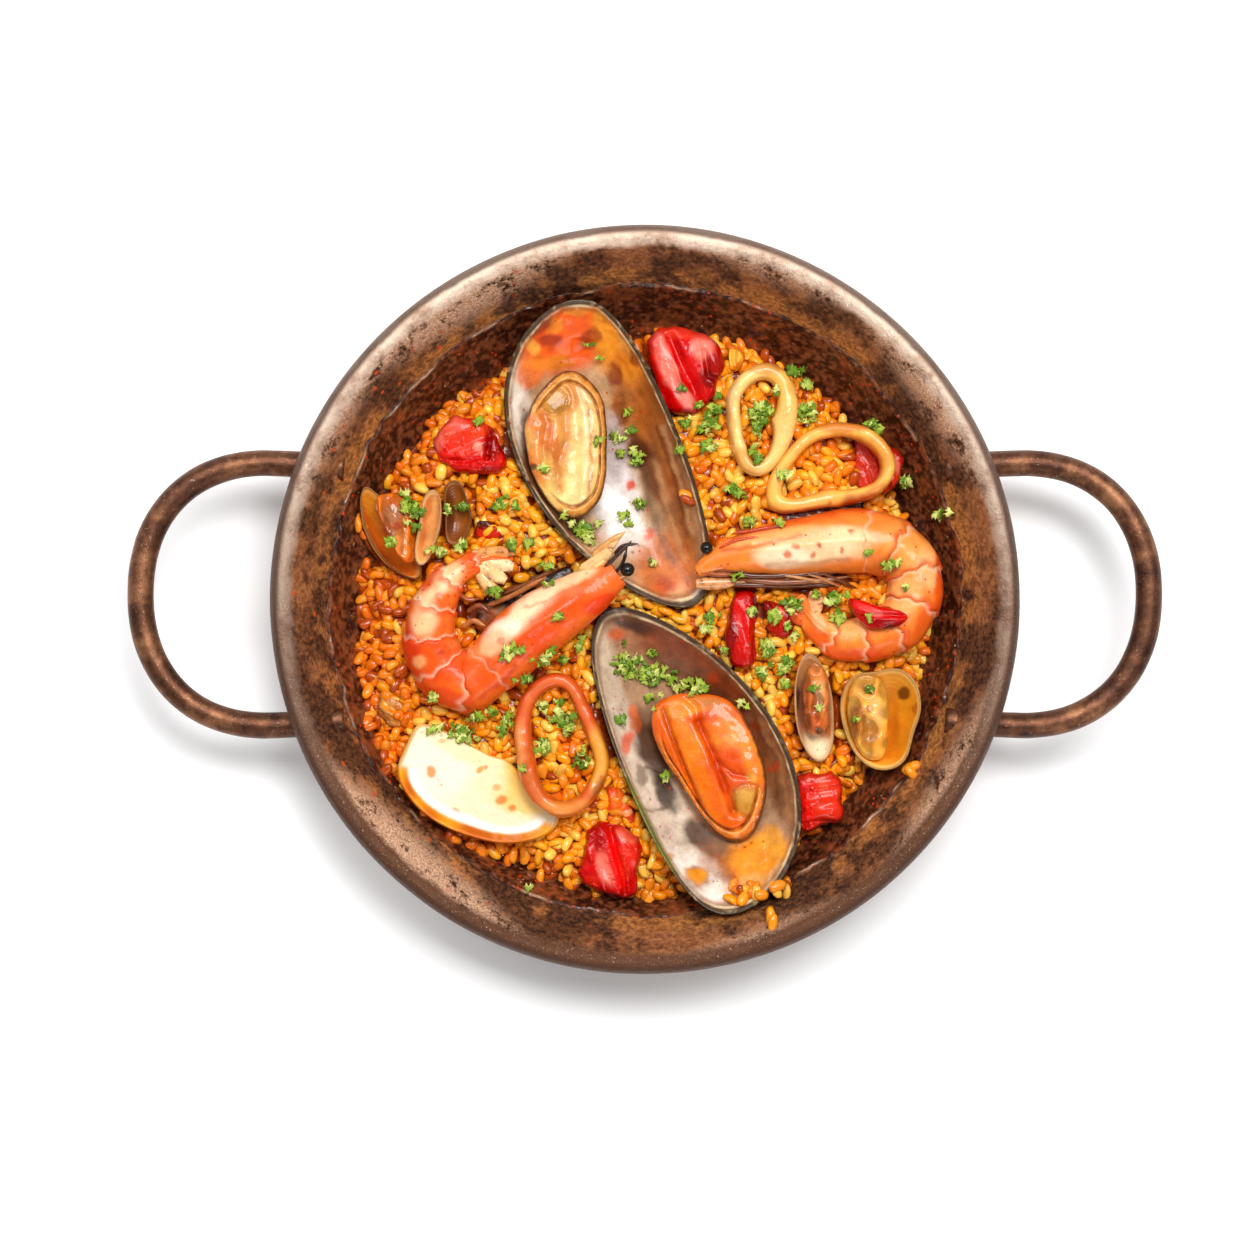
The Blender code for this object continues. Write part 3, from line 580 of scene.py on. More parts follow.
def lumpGrid(name, look, relief=None):
    # A soft rounded piece over a node's outline. With q the share of the way out, the underside rises
    # as q^3 from the box's floor to the rim, and the top as (1 - q^3)^roundness up to the crown.
    middle, outline = silhouette(name, look["columns"], crisp=look.get("crisp", 11))
    low, high = nodeBox(name)
    plane = rimPlane(name, middle, outline)
    outline = middle + look.get("grow", 1.0) * (outline - middle)
    lower = np.linspace(0.05, 1, look["rows"] // 3, endpoint=False)
    upper = np.sin(np.linspace(1, 0.02, look["rows"]) * math.pi / 2)
    out = np.concatenate([lower, upper])[:, None]
    spots = middle + out[..., None] * (outline - middle)
    rim = plane[0] + (spots - middle) @ plane[1:]
    crown = high[2] - plane[0] + look.get("lift", 0)
    top = rim + crown * np.maximum(1 - out**3, 0) ** look["roundness"]
    under = rim - (plane[0] - low[2]) * (1 - out**3)
    below = np.arange(len(out))[:, None] < len(lower)
    grid = np.concatenate([spots, np.where(below, under, top)[..., None]], -1)
    wobble = np.stack([noise(grid, 6, 21 + axis, 2) for axis in range(2)], -1)
    grid[..., :2] += look.get("wobble", 0.5) * wobble * smoothStep(0.3, 1, out)[..., None]
    if relief is not None:
        grid[..., 2] += np.where(below, 0, relief(grid, out) * smoothStep(0, 0.12, 1 - out))
    return grid, out


def bowlGrid(name, look):
    # A shell: an outer and an inner bowl that meet at a thin rim. Depth below the rim's plane goes as
    # 1 - q^power, and lean slides the deep part sideways.
    start = placeOn(name, look["middle"]) if "middle" in look else None
    middle, outline = silhouette(name, look["columns"], start)
    plane = rimPlane(name, middle, outline)
    spokes = outline - middle
    lengths = np.linalg.norm(spokes, axis=1, keepdims=True)
    outer = np.linspace(0.03, 1, look["outerRows"])
    inner = np.linspace(1, 0.02, look["innerRows"]) ** 0.9
    out = np.concatenate([outer, [1.0], inner])[:, None]
    row = np.arange(len(out))[:, None]
    inside = row > look["outerRows"]
    onCrest = row == look["outerRows"]
    thin = np.where(inside, look["rim"], np.where(onCrest, look["rim"] / 2, 0))
    reach = out[..., None] * spokes * (1 - thin[..., None] / lengths)
    sink = 1 - out ** look["power"]
    flat = plane[0] + reach @ plane[1:]
    depth = look["depth"] - np.where(inside, look["wall"], 0)
    spots = middle + reach + np.array(look["lean"]) * sink[..., None]
    crest = np.where(onCrest, 0.25, 0)
    grid = np.concatenate([spots, (flat - depth * sink + crest)[..., None]], -1)
    wave = noise(grid * [1, 1, 0], 9, 11, 2) * look["wave"] * out**4
    grid[..., 2] += wave
    ridges = np.sin(out * look["ridges"] + 1.5 * noise(grid, 14, 12, 2))
    grid[..., 2] += np.where(inside, 0.05, -0.16) * ridges * smoothStep(0.2, 0.9, out)
    return grid, out + 0 * flat, inside


def tubeGrid(path, halfWidths, halfHeights, sides, flatUnder=0.85):
    # A body swept along a path: half sizes at even shares of the way, an ellipse across it.
    share = np.linspace(0, 1, len(path))
    width = np.interp(share, np.linspace(0, 1, len(halfWidths)), halfWidths)
    height = np.interp(share, np.linspace(0, 1, len(halfHeights)), halfHeights)
    ahead = np.gradient(path, axis=0)
    ahead /= np.linalg.norm(ahead, axis=1, keepdims=True)
    sideways = np.cross([0, 0, 1.0], ahead)
    sideways /= np.linalg.norm(sideways, axis=1, keepdims=True)
    up = np.cross(ahead, sideways)
    turn = np.linspace(0, turnFull, sides, endpoint=False)
    rise = np.where(np.sin(turn) < 0, flatUnder, 1) * np.sin(turn)
    reach = sideways[:, None] * (width[:, None] * np.cos(turn))[..., None]
    return path[:, None] + reach + up[:, None] * (height[:, None] * rise)[..., None], share, turn


def strand(route, radius, steps=24, sides=8, seed=0, flat=1.0):
    # A thin tapering thread through a few points, a little uneven.
    path = evenPath(route, steps)
    share = np.linspace(0, 1, steps)
    taper = radius * np.clip(4 * (1 - share) + 0.15, 0, 1) * np.clip(8 * share + 0.3, 0, 1)
    grid = tubeGrid(path, taper, taper * flat, sides, 1.0)[0]
    return grid + noise(grid, 2.2, seed, 2)[..., None] * 0.18


def joined(name, grids, colours):
    # Many stacks of loops of one size in one mesh; colours hold one for each corner.
    grids = np.asarray(grids)
    count, rows, columns = grids.shape[:3]
    corners = withPoles(grids)
    quads, triangles = closedFaces(rows, columns)
    shift = np.arange(count)[:, None, None] * corners.shape[1]
    flatColours = np.broadcast_to(colours, corners.shape).reshape(-1, 3)
    quads, triangles = (quads + shift).reshape(-1, 4), (triangles + shift).reshape(-1, 3)
    return putMesh(name, corners.reshape(-1, 3), quads, triangles, flatColours)


def foodFinish(name, look):
    # Painted colour, blotched by noise, with fine specks, a soft grain and a wet coat.
    finish = Finish(name)
    broad = finish.noise(look["blotch"], 4, 0.6)
    fine = finish.noise(look["grain"], 4, 0.7)
    blotches = finish.ramp(broad * 0.6 + fine * 0.4, (0.3, (0.1, 0.1, 0.1)), (0.7, (0.9, 0.9, 0.9)))
    tone = finish.blend(look["contrast"], finish.paint(), blotches, "OVERLAY")
    for colour, size, rarity, share in look.get("specks", ()):
        dot = 1 - finish.cells(size).between(0.1, 0.24)
        dot = dot * finish.noise(size * 3.1, 2).between(rarity, rarity + 0.06)
        tone = finish.blend(dot * share, tone, tuple(colour))
    height = fine * 0.6 + broad * 0.4
    if "wrinkle" in look:
        height = height + finish.noise(look["wrinkle"], 5, 0.5) * 0.8
    relief = finish.bump(height, look["relief"], 0.7)
    finish.set(Base_Color=tone, Roughness=look["rough"] + fine * 0.22 - 0.11, Normal=relief)
    finish.set(Specular_IOR_Level=0.2, Coat_Weight=look["wet"], Coat_Roughness=0.1)
    return finish.set(Subsurface_Weight=look.get("glow", 0.0), Subsurface_Scale=0.003)


redSpeck = rgb(205, 60, 12)
darkSpeck = rgb(95, 38, 15)


# Mussels.

musselLook = {
    "columns": 330, "outerRows": 34, "innerRows": 100, "power": 2.4, "rim": 0.9, "wall": 1.3,
    "depth": 15.5, "lean": (0, 0), "wave": 0.5, "ridges": 55, "sauce": 0.5,
}

upperShell = {
    "node": "mussel_shell_upper", "middle": (0.43, 0.59), "pearl": rgb(205, 168, 130),
    # Among the dabs, the pale strip on the left wall is painted light, the dark browns between the meat and
    # the rim are painted shade, the brown strip up the right wall is partly stain and partly painted shade of
    # the rising wall, and the small bright orange dabs on the sauce at the top are painted highlights.
    "dabs": [
        (236, 222, 205, 0.08, 0.65, 3.6, 19, 8, 0.95), (224, 214, 208, 0.54, 0.36, 7.5, 16, 12, 0.95),
        (244, 238, 232, 0.54, 0.32, 4.2, 8, 10, 0.9), (205, 190, 188, 0.53, 0.53, 4, 12, 8, 0.8),
        (222, 210, 198, 0.66, 0.24, 5, 9, 25, 0.7), (150, 95, 52, 0.77, 0.49, 6, 34, 15, 0.9),
        (120, 72, 38, 0.69, 0.47, 3.5, 12, 20, 0.85), (178, 122, 72, 0.84, 0.33, 4, 22, 14, 0.8),
        (196, 118, 44, 0.62, 0.69, 6.5, 16, 5, 0.85), (80, 36, 18, 0.65, 0.52, 3.6, 5.5, 20, 0.8),
        (246, 112, 10, 0.28, 0.9, 17, 12, 15, 1.0), (240, 156, 40, 0.54, 0.87, 8, 13, 20, 0.95),
        (225, 165, 88, 0.59, 0.88, 3.4, 7.5, 25, 0.8), (238, 150, 40, 0.24, 0.92, 3, 2.6, 0, 0.9),
        (244, 178, 80, 0.14, 0.85, 2.6, 2.2, 0, 0.9), (240, 160, 50, 0.35, 0.97, 4.5, 2, 0, 0.8),
        (240, 165, 60, 0.47, 0.93, 2.6, 5, 0, 0.8), (232, 120, 22, 0.12, 0.77, 4, 4.5, 0, 0.8),
        (236, 150, 45, 0.23, 0.81, 8, 2.6, 5, 0.75), (150, 42, 10, 0.16, 0.91, 5, 2.6, 45, 0.8),
        (140, 38, 8, 0.23, 0.87, 3.6, 2.2, 0, 0.75), (150, 42, 10, 0.41, 0.89, 3.4, 2.4, 20, 0.6),
        (130, 34, 8, 0.34, 0.99, 4, 1.4, 0, 0.7), (140, 45, 12, 0.53, 0.77, 2.6, 4, 0, 0.75),
        (150, 50, 12, 0.63, 0.81, 2, 2.6, 0, 0.75), (120, 52, 20, 0.56, 0.65, 2.4, 5, 0, 0.55),
        (214, 124, 52, 0.79, 0.12, 10, 14, 20, 0.9), (236, 186, 140, 0.84, 0.06, 3.4, 4, 20, 0.7),
        (200, 70, 30, 0.77, 0.09, 3.4, 2.6, 0, 0.6), (228, 120, 36, 0.87, 0.03, 2.8, 2, 0, 0.9),
        (224, 84, 16, 0.6, 0.41, 1.6, 1.3, 0, 0.9), (224, 90, 24, 0.7, 0.25, 2, 1.4, 20, 0.8),
        (200, 80, 30, 0.87, 0.21, 1.4, 1.1, 0, 0.7), (205, 90, 26, 0.71, 0.27, 1.8, 1, 0, 0.7),
        (150, 52, 18, 0.82, 0.43, 2.2, 2.8, 0, 0.7), (92, 52, 28, 0.17, 0.43, 5, 14, 18, 0.95),
        (80, 44, 24, 0.32, 0.28, 8, 4, -20, 0.9), (96, 58, 30, 0.12, 0.55, 2, 12, 8, 0.7),
    ],
    # The dark streaks up the right wall are partly stain and partly painted shade.
    "streaks": [
        (rgb(176, 100, 36), [(0.71, 0.69), (0.79, 0.47), (0.87, 0.26)], 4.5, 0.6),
        (rgb(95, 55, 30), [(0.66, 0.43), (0.72, 0.31), (0.81, 0.16)], 1.6, 0.6),
        (rgb(206, 160, 118), [(0.72, 0.49), (0.79, 0.33), (0.87, 0.16)], 1.1, 0.55),
        (rgb(214, 172, 128), [(0.77, 0.59), (0.85, 0.41), (0.91, 0.26)], 0.9, 0.6),
        (rgb(110, 64, 34), [(0.74, 0.59), (0.81, 0.43), (0.88, 0.26)], 0.8, 0.5),
    ],
    "sauce": [(0.32, 0.92), (20, 10), 12],
}

lowerShell = {
    "node": "mussel_shell_lower", "middle": (0.52, 0.44), "pearl": rgb(188, 150, 118),
    # Among the dabs, the dark browns beside the meat are painted shade, the dark one at the top left is a
    # painted shadow cast by the prawn, and the near-white one at the bottom is a painted highlight.
    "dabs": [
        (208, 186, 162, 0.08, 0.74, 4.5, 24, 10, 0.95), (214, 196, 176, 0.16, 0.57, 5.5, 14, 15, 0.9),
        (224, 206, 186, 0.33, 0.32, 9, 21, 28, 0.95), (246, 236, 222, 0.51, 0.12, 12, 6.5, -35, 0.9),
        (134, 88, 58, 0.46, 0.83, 20, 9, -42, 0.95), (150, 112, 90, 0.39, 0.84, 10, 4.5, -35, 0.7),
        (120, 66, 36, 0.68, 0.71, 9, 7, -45, 0.85), (168, 110, 72, 0.22, 0.89, 7, 5, -20, 0.7),
        (70, 42, 28, 0.17, 0.95, 10, 3, -25, 0.85), (146, 92, 54, 0.87, 0.5, 4.5, 22, 14, 0.9),
        (164, 122, 100, 0.85, 0.56, 2.2, 7, 14, 0.7), (140, 104, 84, 0.8, 0.65, 2.6, 3, 0, 0.7),
        (78, 48, 30, 0.3, 0.52, 4.4, 15, 20, 0.85), (60, 38, 26, 0.36, 0.38, 3, 7, 20, 0.8),
        (86, 54, 34, 0.52, 0.25, 6, 3.6, -45, 0.85), (140, 88, 42, 0.64, 0.19, 8, 4, -15, 0.8),
        (248, 160, 24, 0.81, 0.16, 11, 9, 25, 0.95), (240, 172, 66, 0.87, 0.22, 4, 6, 20, 0.8),
        (236, 186, 120, 0.74, 0.08, 8, 4, 15, 0.75), (232, 196, 150, 0.89, 0.12, 2.6, 6, -25, 0.7),
        (176, 98, 30, 0.61, 0.14, 7, 3.4, -25, 0.6), (160, 96, 36, 0.5, 0.12, 3.9, 3.1, -35, 0.8),
        (230, 158, 48, 0.5, 0.12, 3.1, 2.4, -35, 1.0), (214, 150, 84, 0.38, 0.18, 1.8, 1.6, 0, 0.7),
        (226, 92, 28, 0.18, 0.55, 1.8, 3.6, -10, 0.75), (224, 112, 44, 0.2, 0.65, 1.5, 2.6, 10, 0.75),
        (214, 110, 50, 0.23, 0.61, 2.4, 3.4, 0, 0.6), (216, 100, 40, 0.12, 0.9, 2.6, 2.2, 0, 0.7),
        (190, 64, 22, 0.59, 0.76, 2.2, 2, 0, 0.75), (200, 70, 24, 0.8, 0.6, 2, 1.6, 0, 0.75),
        (196, 66, 22, 0.88, 0.47, 1.6, 1.8, 0, 0.8), (176, 70, 30, 0.71, 0.8, 3, 1.2, -35, 0.7),
        (110, 84, 66, 0.24, 0.44, 1.6, 3, 20, 0.6),
    ],
    "streaks": [
        (rgb(150, 70, 26), [(0.32, 0.89), (0.55, 0.81), (0.72, 0.7), (0.86, 0.54)], 4.5, 0.65),
        (rgb(96, 70, 52), [(0.26, 0.46), (0.33, 0.44), (0.39, 0.39)], 0.5, 0.7),
        (rgb(140, 104, 78), [(0.26, 0.33), (0.32, 0.33), (0.38, 0.33)], 0.5, 0.6),
        (rgb(116, 76, 44), [(0.75, 0.68), (0.86, 0.52), (0.91, 0.32)], 0.9, 0.6),
        (rgb(190, 140, 90), [(0.81, 0.63), (0.91, 0.48), (0.95, 0.3)], 0.8, 0.5),
    ],
    "sauce": [(0.78, 0.12), (14, 9), 20],
}

shellEdge = {
    "dark": rgb(74, 44, 26), "cream": rgb(226, 202, 166), "brown": rgb(140, 86, 46),
    "outside": rgb(44, 32, 26), "outsideEdge": rgb(96, 78, 40), "green": rgb(126, 132, 54),
}


def makeMusselShell(shell):
    name = shell["node"]
    grid, out, inside = bowlGrid(name, {**musselLook, "middle": shell["middle"]})
    place, radii, turn = shell["sauce"]
    pool = spot(wandering(grid, 2.5, 71), placeOn(name, place), radii, turn, 0.12)
    pool = pool * smoothStep(-0.25, -0.1, noise(grid, 7, 72, 3)) * inside
    grid[..., 2] += musselLook["sauce"] * pool + 0.22 * noise(grid, 10, 73, 3) * inside * (1 - out**6)
    colours = painted(grid, name, shell["pearl"], shell["dabs"], shell["streaks"], 2.0, 74)
    colours = mottled(mottled(colours, grid * [1, 1, 0.5], 2.2, 0.2, 79), grid, 7, 0.2, 75)
    fine = noise(grid * [1, 1, 0.3], 3, 76, 3)
    edge = out + 0.008 * fine
    colours = mixed(colours, shellEdge["brown"], smoothStep(0.92, 0.955, edge) * 0.55)
    colours = mixed(colours, shellEdge["cream"], smoothStep(0.96, 0.968, edge) * np.clip(0.6 + fine, 0, 1))
    colours = mixed(colours, shellEdge["dark"], smoothStep(0.976, 0.984, edge) * 0.92)
    outside = np.ones(colours.shape) * shellEdge["outside"]
    outside = mixed(outside, shellEdge["outsideEdge"], smoothStep(0.75, 1, out) * (0.5 + 0.5 * fine))
    colours = np.where(inside[..., None], colours, outside)
    flecks = smoothStep(0.2, 0.5, noise(grid, 2.1, 77, 3)) * smoothStep(0.965, 0.98, out)
    colours = mixed(colours, shellEdge["cream"], flecks * 0.35)
    if name == "mussel_shell_lower":
        green = spot(grid, placeOn(name, (0.29, 0.28)), (5, 17), 25) * smoothStep(0.955, 0.97, out)
        colours = mixed(colours, shellEdge["green"], green * 0.8)
    piece = putSurface(name + "_pearl", grid, colours)
    return finishPiece(piece, shellFinish, "mussel_shell", name)


shellFinish = foodFinish("musselPearl", {
    "blotch": 5, "grain": 0.7, "contrast": 0.5, "relief": 0.22, "rough": 0.36, "wet": 0.25,
    "specks": [(redSpeck, 2.6, 0.55, 0.75), (darkSpeck, 3.4, 0.6, 0.6)],
})

upperMeat = {
    "node": "mussel_meat_upper", "columns": 220, "rows": 90, "roundness": 0.42, "wobble": 0.5,
    "base": rgb(226, 168, 92),
    "dabs": [
        (244, 208, 140, 0.76, 0.48, 6, 22, 4, 0.9), (250, 222, 160, 0.53, 0.18, 7, 6, -10, 0.85),
        (232, 190, 110, 0.31, 0.28, 5, 8, 15, 0.6), (214, 112, 30, 0.24, 0.58, 3, 7, 10, 0.7),
        (224, 120, 30, 0.16, 0.36, 2.6, 6, 15, 0.6), (214, 120, 40, 0.57, 0.8, 2.4, 5, 0, 0.6),
        (220, 120, 44, 0.38, 0.48, 1.6, 5, 8, 0.65), (186, 134, 48, 0.37, 0.79, 4.9, 4.4, 0, 0.9),
        (206, 156, 70, 0.35, 0.82, 2.6, 2, 20, 0.5), (60, 48, 34, 0.12, 0.35, 1.7, 1, 0, 0.8),
        (206, 90, 26, 0.07, 0.65, 1.4, 2.2, 0, 0.6), (226, 110, 40, 0.83, 0.06, 5, 1.8, 30, 0.7),
    ],
    # The darker streaks that follow the grooves are painted shade in the creases.
    "streaks": [
        (rgb(176, 104, 40), [(0.65, 0.9), (0.8, 0.68), (0.83, 0.38), (0.79, 0.13)], 0.6, 0.55),
        (rgb(250, 226, 176), [(0.7, 0.86), (0.76, 0.58), (0.72, 0.28)], 1.1, 0.7),
        (rgb(206, 124, 48), [(0.5, 0.68), (0.51, 0.52), (0.4, 0.36), (0.42, 0.2)], 1.4, 0.6),
        (rgb(200, 120, 46), [(0.22, 0.52), (0.35, 0.44), (0.44, 0.36)], 0.6, 0.5),
    ],
    "grooves": [
        ([(0.59, 0.92), (0.72, 0.72), (0.76, 0.44), (0.7, 0.17)], 1.6, 0.8),
        ([(0.5, 0.7), (0.51, 0.52), (0.4, 0.36), (0.42, 0.2)], 1.9, 1.3),
        ([(0.2, 0.72), (0.29, 0.64), (0.24, 0.48), (0.27, 0.32)], 1.5, 1.0),
    ],
    "disc": ((0.37, 0.79), 4.8), "frill": (0.84, 0.93), "mantle": (-100, 128), "rimSide": (-130, 150),
    "frillTone": rgb(222, 156, 74), "frillCreaseShade": rgb(150, 92, 40), "frillDark": rgb(92, 58, 36),
}

lowerMeat = {
    "node": "mussel_meat_lower", "columns": 220, "rows": 90, "roundness": 0.40, "wobble": 0.4,
    "base": rgb(236, 118, 16),
    # The paler orange dabs on the lobes are painted highlights.
    "dabs": [
        (246, 142, 22, 0.32, 0.65, 4, 16, 20, 0.8), (250, 158, 50, 0.29, 0.91, 8, 3, 10, 0.75),
        (248, 150, 60, 0.68, 0.73, 6, 5, 20, 0.7), (250, 176, 110, 0.7, 0.71, 2.8, 1.8, -20, 0.6),
        (226, 88, 12, 0.66, 0.51, 6, 8, 30, 0.65), (244, 140, 30, 0.42, 0.28, 3.4, 10, 30, 0.8),
        (220, 78, 10, 0.45, 0.85, 5, 1.6, 5, 0.6), (236, 150, 46, 0.89, 0.57, 3.6, 9, 14, 0.75),
        (206, 132, 56, 0.5, 0.95, 5.6, 1.8, -10, 0.8), (206, 152, 60, 0.84, 0.29, 5.6, 5, -10, 0.95),
        (224, 176, 92, 0.8, 0.32, 3, 2.4, -10, 0.6), (238, 190, 96, 0.86, 0.45, 1.8, 1.2, -10, 0.7),
    ],
    # The dark red streaks that follow the grooves are painted shade in the creases.
    "streaks": [
        (rgb(168, 50, 6), [(0.11, 0.89), (0.18, 0.73), (0.32, 0.45), (0.5, 0.14)], 0.7, 0.7),
        (rgb(200, 66, 8), [(0.41, 0.81), (0.53, 0.61), (0.63, 0.4), (0.71, 0.22)], 0.9, 0.65),
        (rgb(190, 60, 8), [(0.58, 0.55), (0.71, 0.47), (0.84, 0.45)], 0.6, 0.5),
        (rgb(184, 108, 34), [(0.71, 0.36), (0.73, 0.24), (0.84, 0.18), (0.97, 0.22)], 0.5, 0.6),
    ],
    "grooves": [
        ([(0.11, 0.89), (0.18, 0.73), (0.32, 0.45), (0.5, 0.14)], 0.9, 1.9),
        ([(0.41, 0.81), (0.53, 0.61), (0.63, 0.4), (0.71, 0.22)], 1.3, 2.4),
        ([(0.58, 0.55), (0.71, 0.47), (0.84, 0.45)], 1.0, 1.1),
        ([(0.29, 0.99), (0.39, 0.91), (0.42, 0.81)], 1.2, 1.2),
    ],
    "disc": ((0.84, 0.29), 5.6), "frill": (0.83, 0.92), "mantle": (150, 335), "rimSide": (190, 425),
    "frillTone": rgb(226, 132, 40), "frillCreaseShade": rgb(150, 74, 22), "frillDark": rgb(104, 64, 38),
}


def sideMask(turn, first, last):
    # 1 for the directions from first to last degrees, going counter-clockwise, and 0 for the others.
    middle, half = (first + last) / 2, (last - first) / 2
    apart = np.abs((turn - middle + 180) % 360 - 180)
    return 1 - smoothStep(half - 12, half + 12, apart)


def makeMusselMeat(meat):
    # Two lobes with creases between them, a round muscle, and a frilled mantle round the edge.
    name = meat["node"]

    def relief(grid, out):
        height = 0.5 * noise(grid, 9, 81, 2) + 0.18 * noise(grid, 2.6, 82, 2)
        for line, width, depth in meat["grooves"]:
            height = height - depth * np.exp(-((lineDistance(grid, placeOn(name, line)) / width) ** 2))
        place, radius = meat["disc"]
        disc = np.linalg.norm(grid[..., :2] - placeOn(name, place), axis=-1)
        height = height - 0.9 * np.exp(-(((disc - radius) / 0.7) ** 2)) - 0.5 * (disc < radius - 0.7)
        inner, outer = meat["frill"]
        turn = np.linspace(0, turnFull, grid.shape[1], endpoint=False)
        mantle = sideMask(np.degrees(turn), *meat["mantle"])
        height = height - 1.6 * mantle * np.exp(-(((out - inner) / 0.022) ** 2))
        ruffle = np.sin(34 * turn + 4 * noise(grid, 12, 83))
        return height + 0.35 * mantle * ruffle * smoothStep(inner, outer, out)

    grid, out = lumpGrid(name, meat, relief)
    colours = painted(grid, name, meat["base"], meat["dabs"], meat["streaks"], 1.1, 84)
    inner, outer = meat["frill"]
    fine = noise(grid, 1.8, 85, 2)
    turn = np.degrees(np.linspace(0, turnFull, grid.shape[1], endpoint=False))
    mantle = sideMask(turn, *meat["mantle"])
    colours = mixed(colours, meat["frillTone"], smoothStep(inner - 0.02, inner + 0.02, out) * mantle)
    # The mantle's crease is painted darker, as painted shade in the fold.
    creaseShade = np.exp(-(((out - inner) / 0.02) ** 2)) * np.clip(0.55 + fine, 0, 1)
    colours = mixed(colours, meat["frillCreaseShade"], creaseShade * mantle)
    band = np.exp(-(((out - (inner + outer) / 2) / 0.018) ** 2))
    colours = mixed(colours, rgb(242, 196, 124), band * 0.5 * mantle)
    rimTone = sideMask(turn, *meat["rimSide"])
    rimBand = smoothStep(outer, outer + 0.05, out + 0.03 * fine) * 0.9
    colours = mixed(colours, meat["frillDark"], rimBand * rimTone)
    piece = putSurface(name + "_flesh", grid, mottled(colours, grid, 3.4, 0.2, 86))
    slot = "mussel_meat_pale" if name == "mussel_meat_upper" else "mussel_meat_orange"
    return finishPiece(piece, fleshFinish, slot, name)


fleshFinish = foodFinish("musselFlesh", {
    "blotch": 4, "grain": 0.8, "contrast": 0.45, "relief": 0.4, "rough": 0.32, "wet": 0.4, "glow": 0.08,
    "specks": [(redSpeck, 4.2, 0.62, 0.6)],
})

fragmentLook = {"columns": 120, "rows": 36, "roundness": 0.7, "wobble": 0.9, "lift": 0.5}


def makeFragment():
    name = "mussel_shell_fragment"

    def relief(grid, out):
        return 0.8 * noise(grid, 7, 91, 3) + 0.25 * noise(grid, 1.4, 92, 2)

    grid, out = lumpGrid(name, fragmentLook, relief)
    pale = smoothStep(-0.1, 0.3, noise(grid, 4, 93, 3))
    colours = mixed(rgb(58, 36, 26), rgb(150, 116, 84), pale)
    colours = mixed(colours, rgb(176, 92, 30), smoothStep(0.1, 0.35, noise(grid, 5, 94, 2)) * 0.8)
    piece = putSurface("shell_fragment", grid, colours)
    return finishPiece(piece, shellFinish, "mussel_outside", name)


for musselShell in (upperShell, lowerShell):
    makeMusselShell(musselShell)
for musselMeat in (upperMeat, lowerMeat):
    makeMusselMeat(musselMeat)
makeFragment()
print("mussels made")


# Prawns.

prawnLook = {
    "rows": 330, "sides": 84, "plates": 6, "plateStep": 0.95,
}

# The route runs from the head to the tail as shares of the node's box; half sizes are in mm.
rightPrawn = {
    "node": "prawn_right",
    "route": [
        (0.012, 0.584, 0.68), (0.098, 0.663, 0.65), (0.221, 0.713, 0.59), (0.368, 0.743, 0.47),
        (0.539, 0.779, 0.44), (0.711, 0.783, 0.44), (0.846, 0.683, 0.42), (0.888, 0.484, 0.42),
        (0.839, 0.275, 0.42), (0.711, 0.165, 0.42), (0.588, 0.145, 0.39), (0.502, 0.225, 0.36),
        (0.447, 0.325, 0.36),
    ],
    "widths": [2, 5, 7.4, 8.8, 9.4, 10.6, 10.6, 9.4, 9.2, 8.8, 8.4, 7.4, 5.6, 3.2],
    "heights": [2, 4.5, 6.5, 8.4, 9.2, 10, 10, 9.2, 9, 8.6, 8, 6, 3.5, 1.8],
    "carapace": 0.425, "tail": 0.9, "base": rgb(246, 148, 66),
    # The pale dabs over the curl of the tail are painted highlights.
    "dabs": [
        (253, 216, 168, 0.49, 0.75, 18, 5.6, 6, 0.85), (255, 230, 196, 0.36, 0.68, 9, 3.2, 0, 0.8),
        (255, 222, 178, 0.59, 0.8, 7, 4, 10, 0.7), (246, 186, 120, 0.29, 0.82, 14, 2.6, 10, 0.85),
        (248, 176, 98, 0.86, 0.76, 9, 8, -40, 0.7), (252, 206, 150, 0.93, 0.6, 3, 7, 10, 0.65),
        (250, 192, 124, 0.83, 0.44, 6, 6, 0, 0.7), (250, 190, 120, 0.61, 0.23, 6, 4, -10, 0.8),
        (240, 120, 40, 0.81, 0.11, 8, 4, 20, 0.7), (232, 92, 22, 0.64, 0.03, 12, 3, 0, 0.85),
        (236, 104, 30, 0.49, 0.15, 5, 4, -40, 0.8), (238, 130, 56, 0.47, 0.32, 4, 5, 0, 0.7),
        (250, 200, 150, 0.5, 0.28, 2, 4, 20, 0.6), (240, 130, 46, 0.91, 0.88, 7, 3, -40, 0.75),
        (234, 100, 26, 0.98, 0.56, 2, 14, 0, 0.9), (236, 110, 34, 0.92, 0.26, 3, 7, -25, 0.8),
        (206, 120, 60, 0.74, 0.58, 5, 4, 40, 0.5), (205, 92, 44, 0.49, 0.76, 0.9, 0.8, 0, 0.9),
        (206, 96, 50, 0.62, 0.85, 1.1, 0.9, 0, 0.85), (214, 106, 54, 0.37, 0.69, 1.2, 1.3, 0, 0.85),
        (212, 104, 58, 0.47, 0.7, 0.9, 1, 0, 0.85), (216, 116, 62, 0.4, 0.74, 1.3, 0.7, 0, 0.75),
        (214, 106, 54, 0.58, 0.73, 0.7, 0.8, 0, 0.8),
    ],
    "streaks": [
        (rgb(228, 104, 34), [(0.15, 0.81), (0.34, 0.9), (0.56, 0.96)], 1.5, 0.8),
        (rgb(226, 90, 30), [(0.51, 0.98), (0.74, 1), (0.91, 0.9)], 1.4, 0.8),
        (rgb(188, 90, 40), [(0.11, 0.72), (0.23, 0.74), (0.42, 0.81)], 0.6, 0.6),
        (rgb(176, 128, 100), [(0.29, 0.64), (0.44, 0.64), (0.61, 0.67)], 0.9, 0.5),
    ],
}

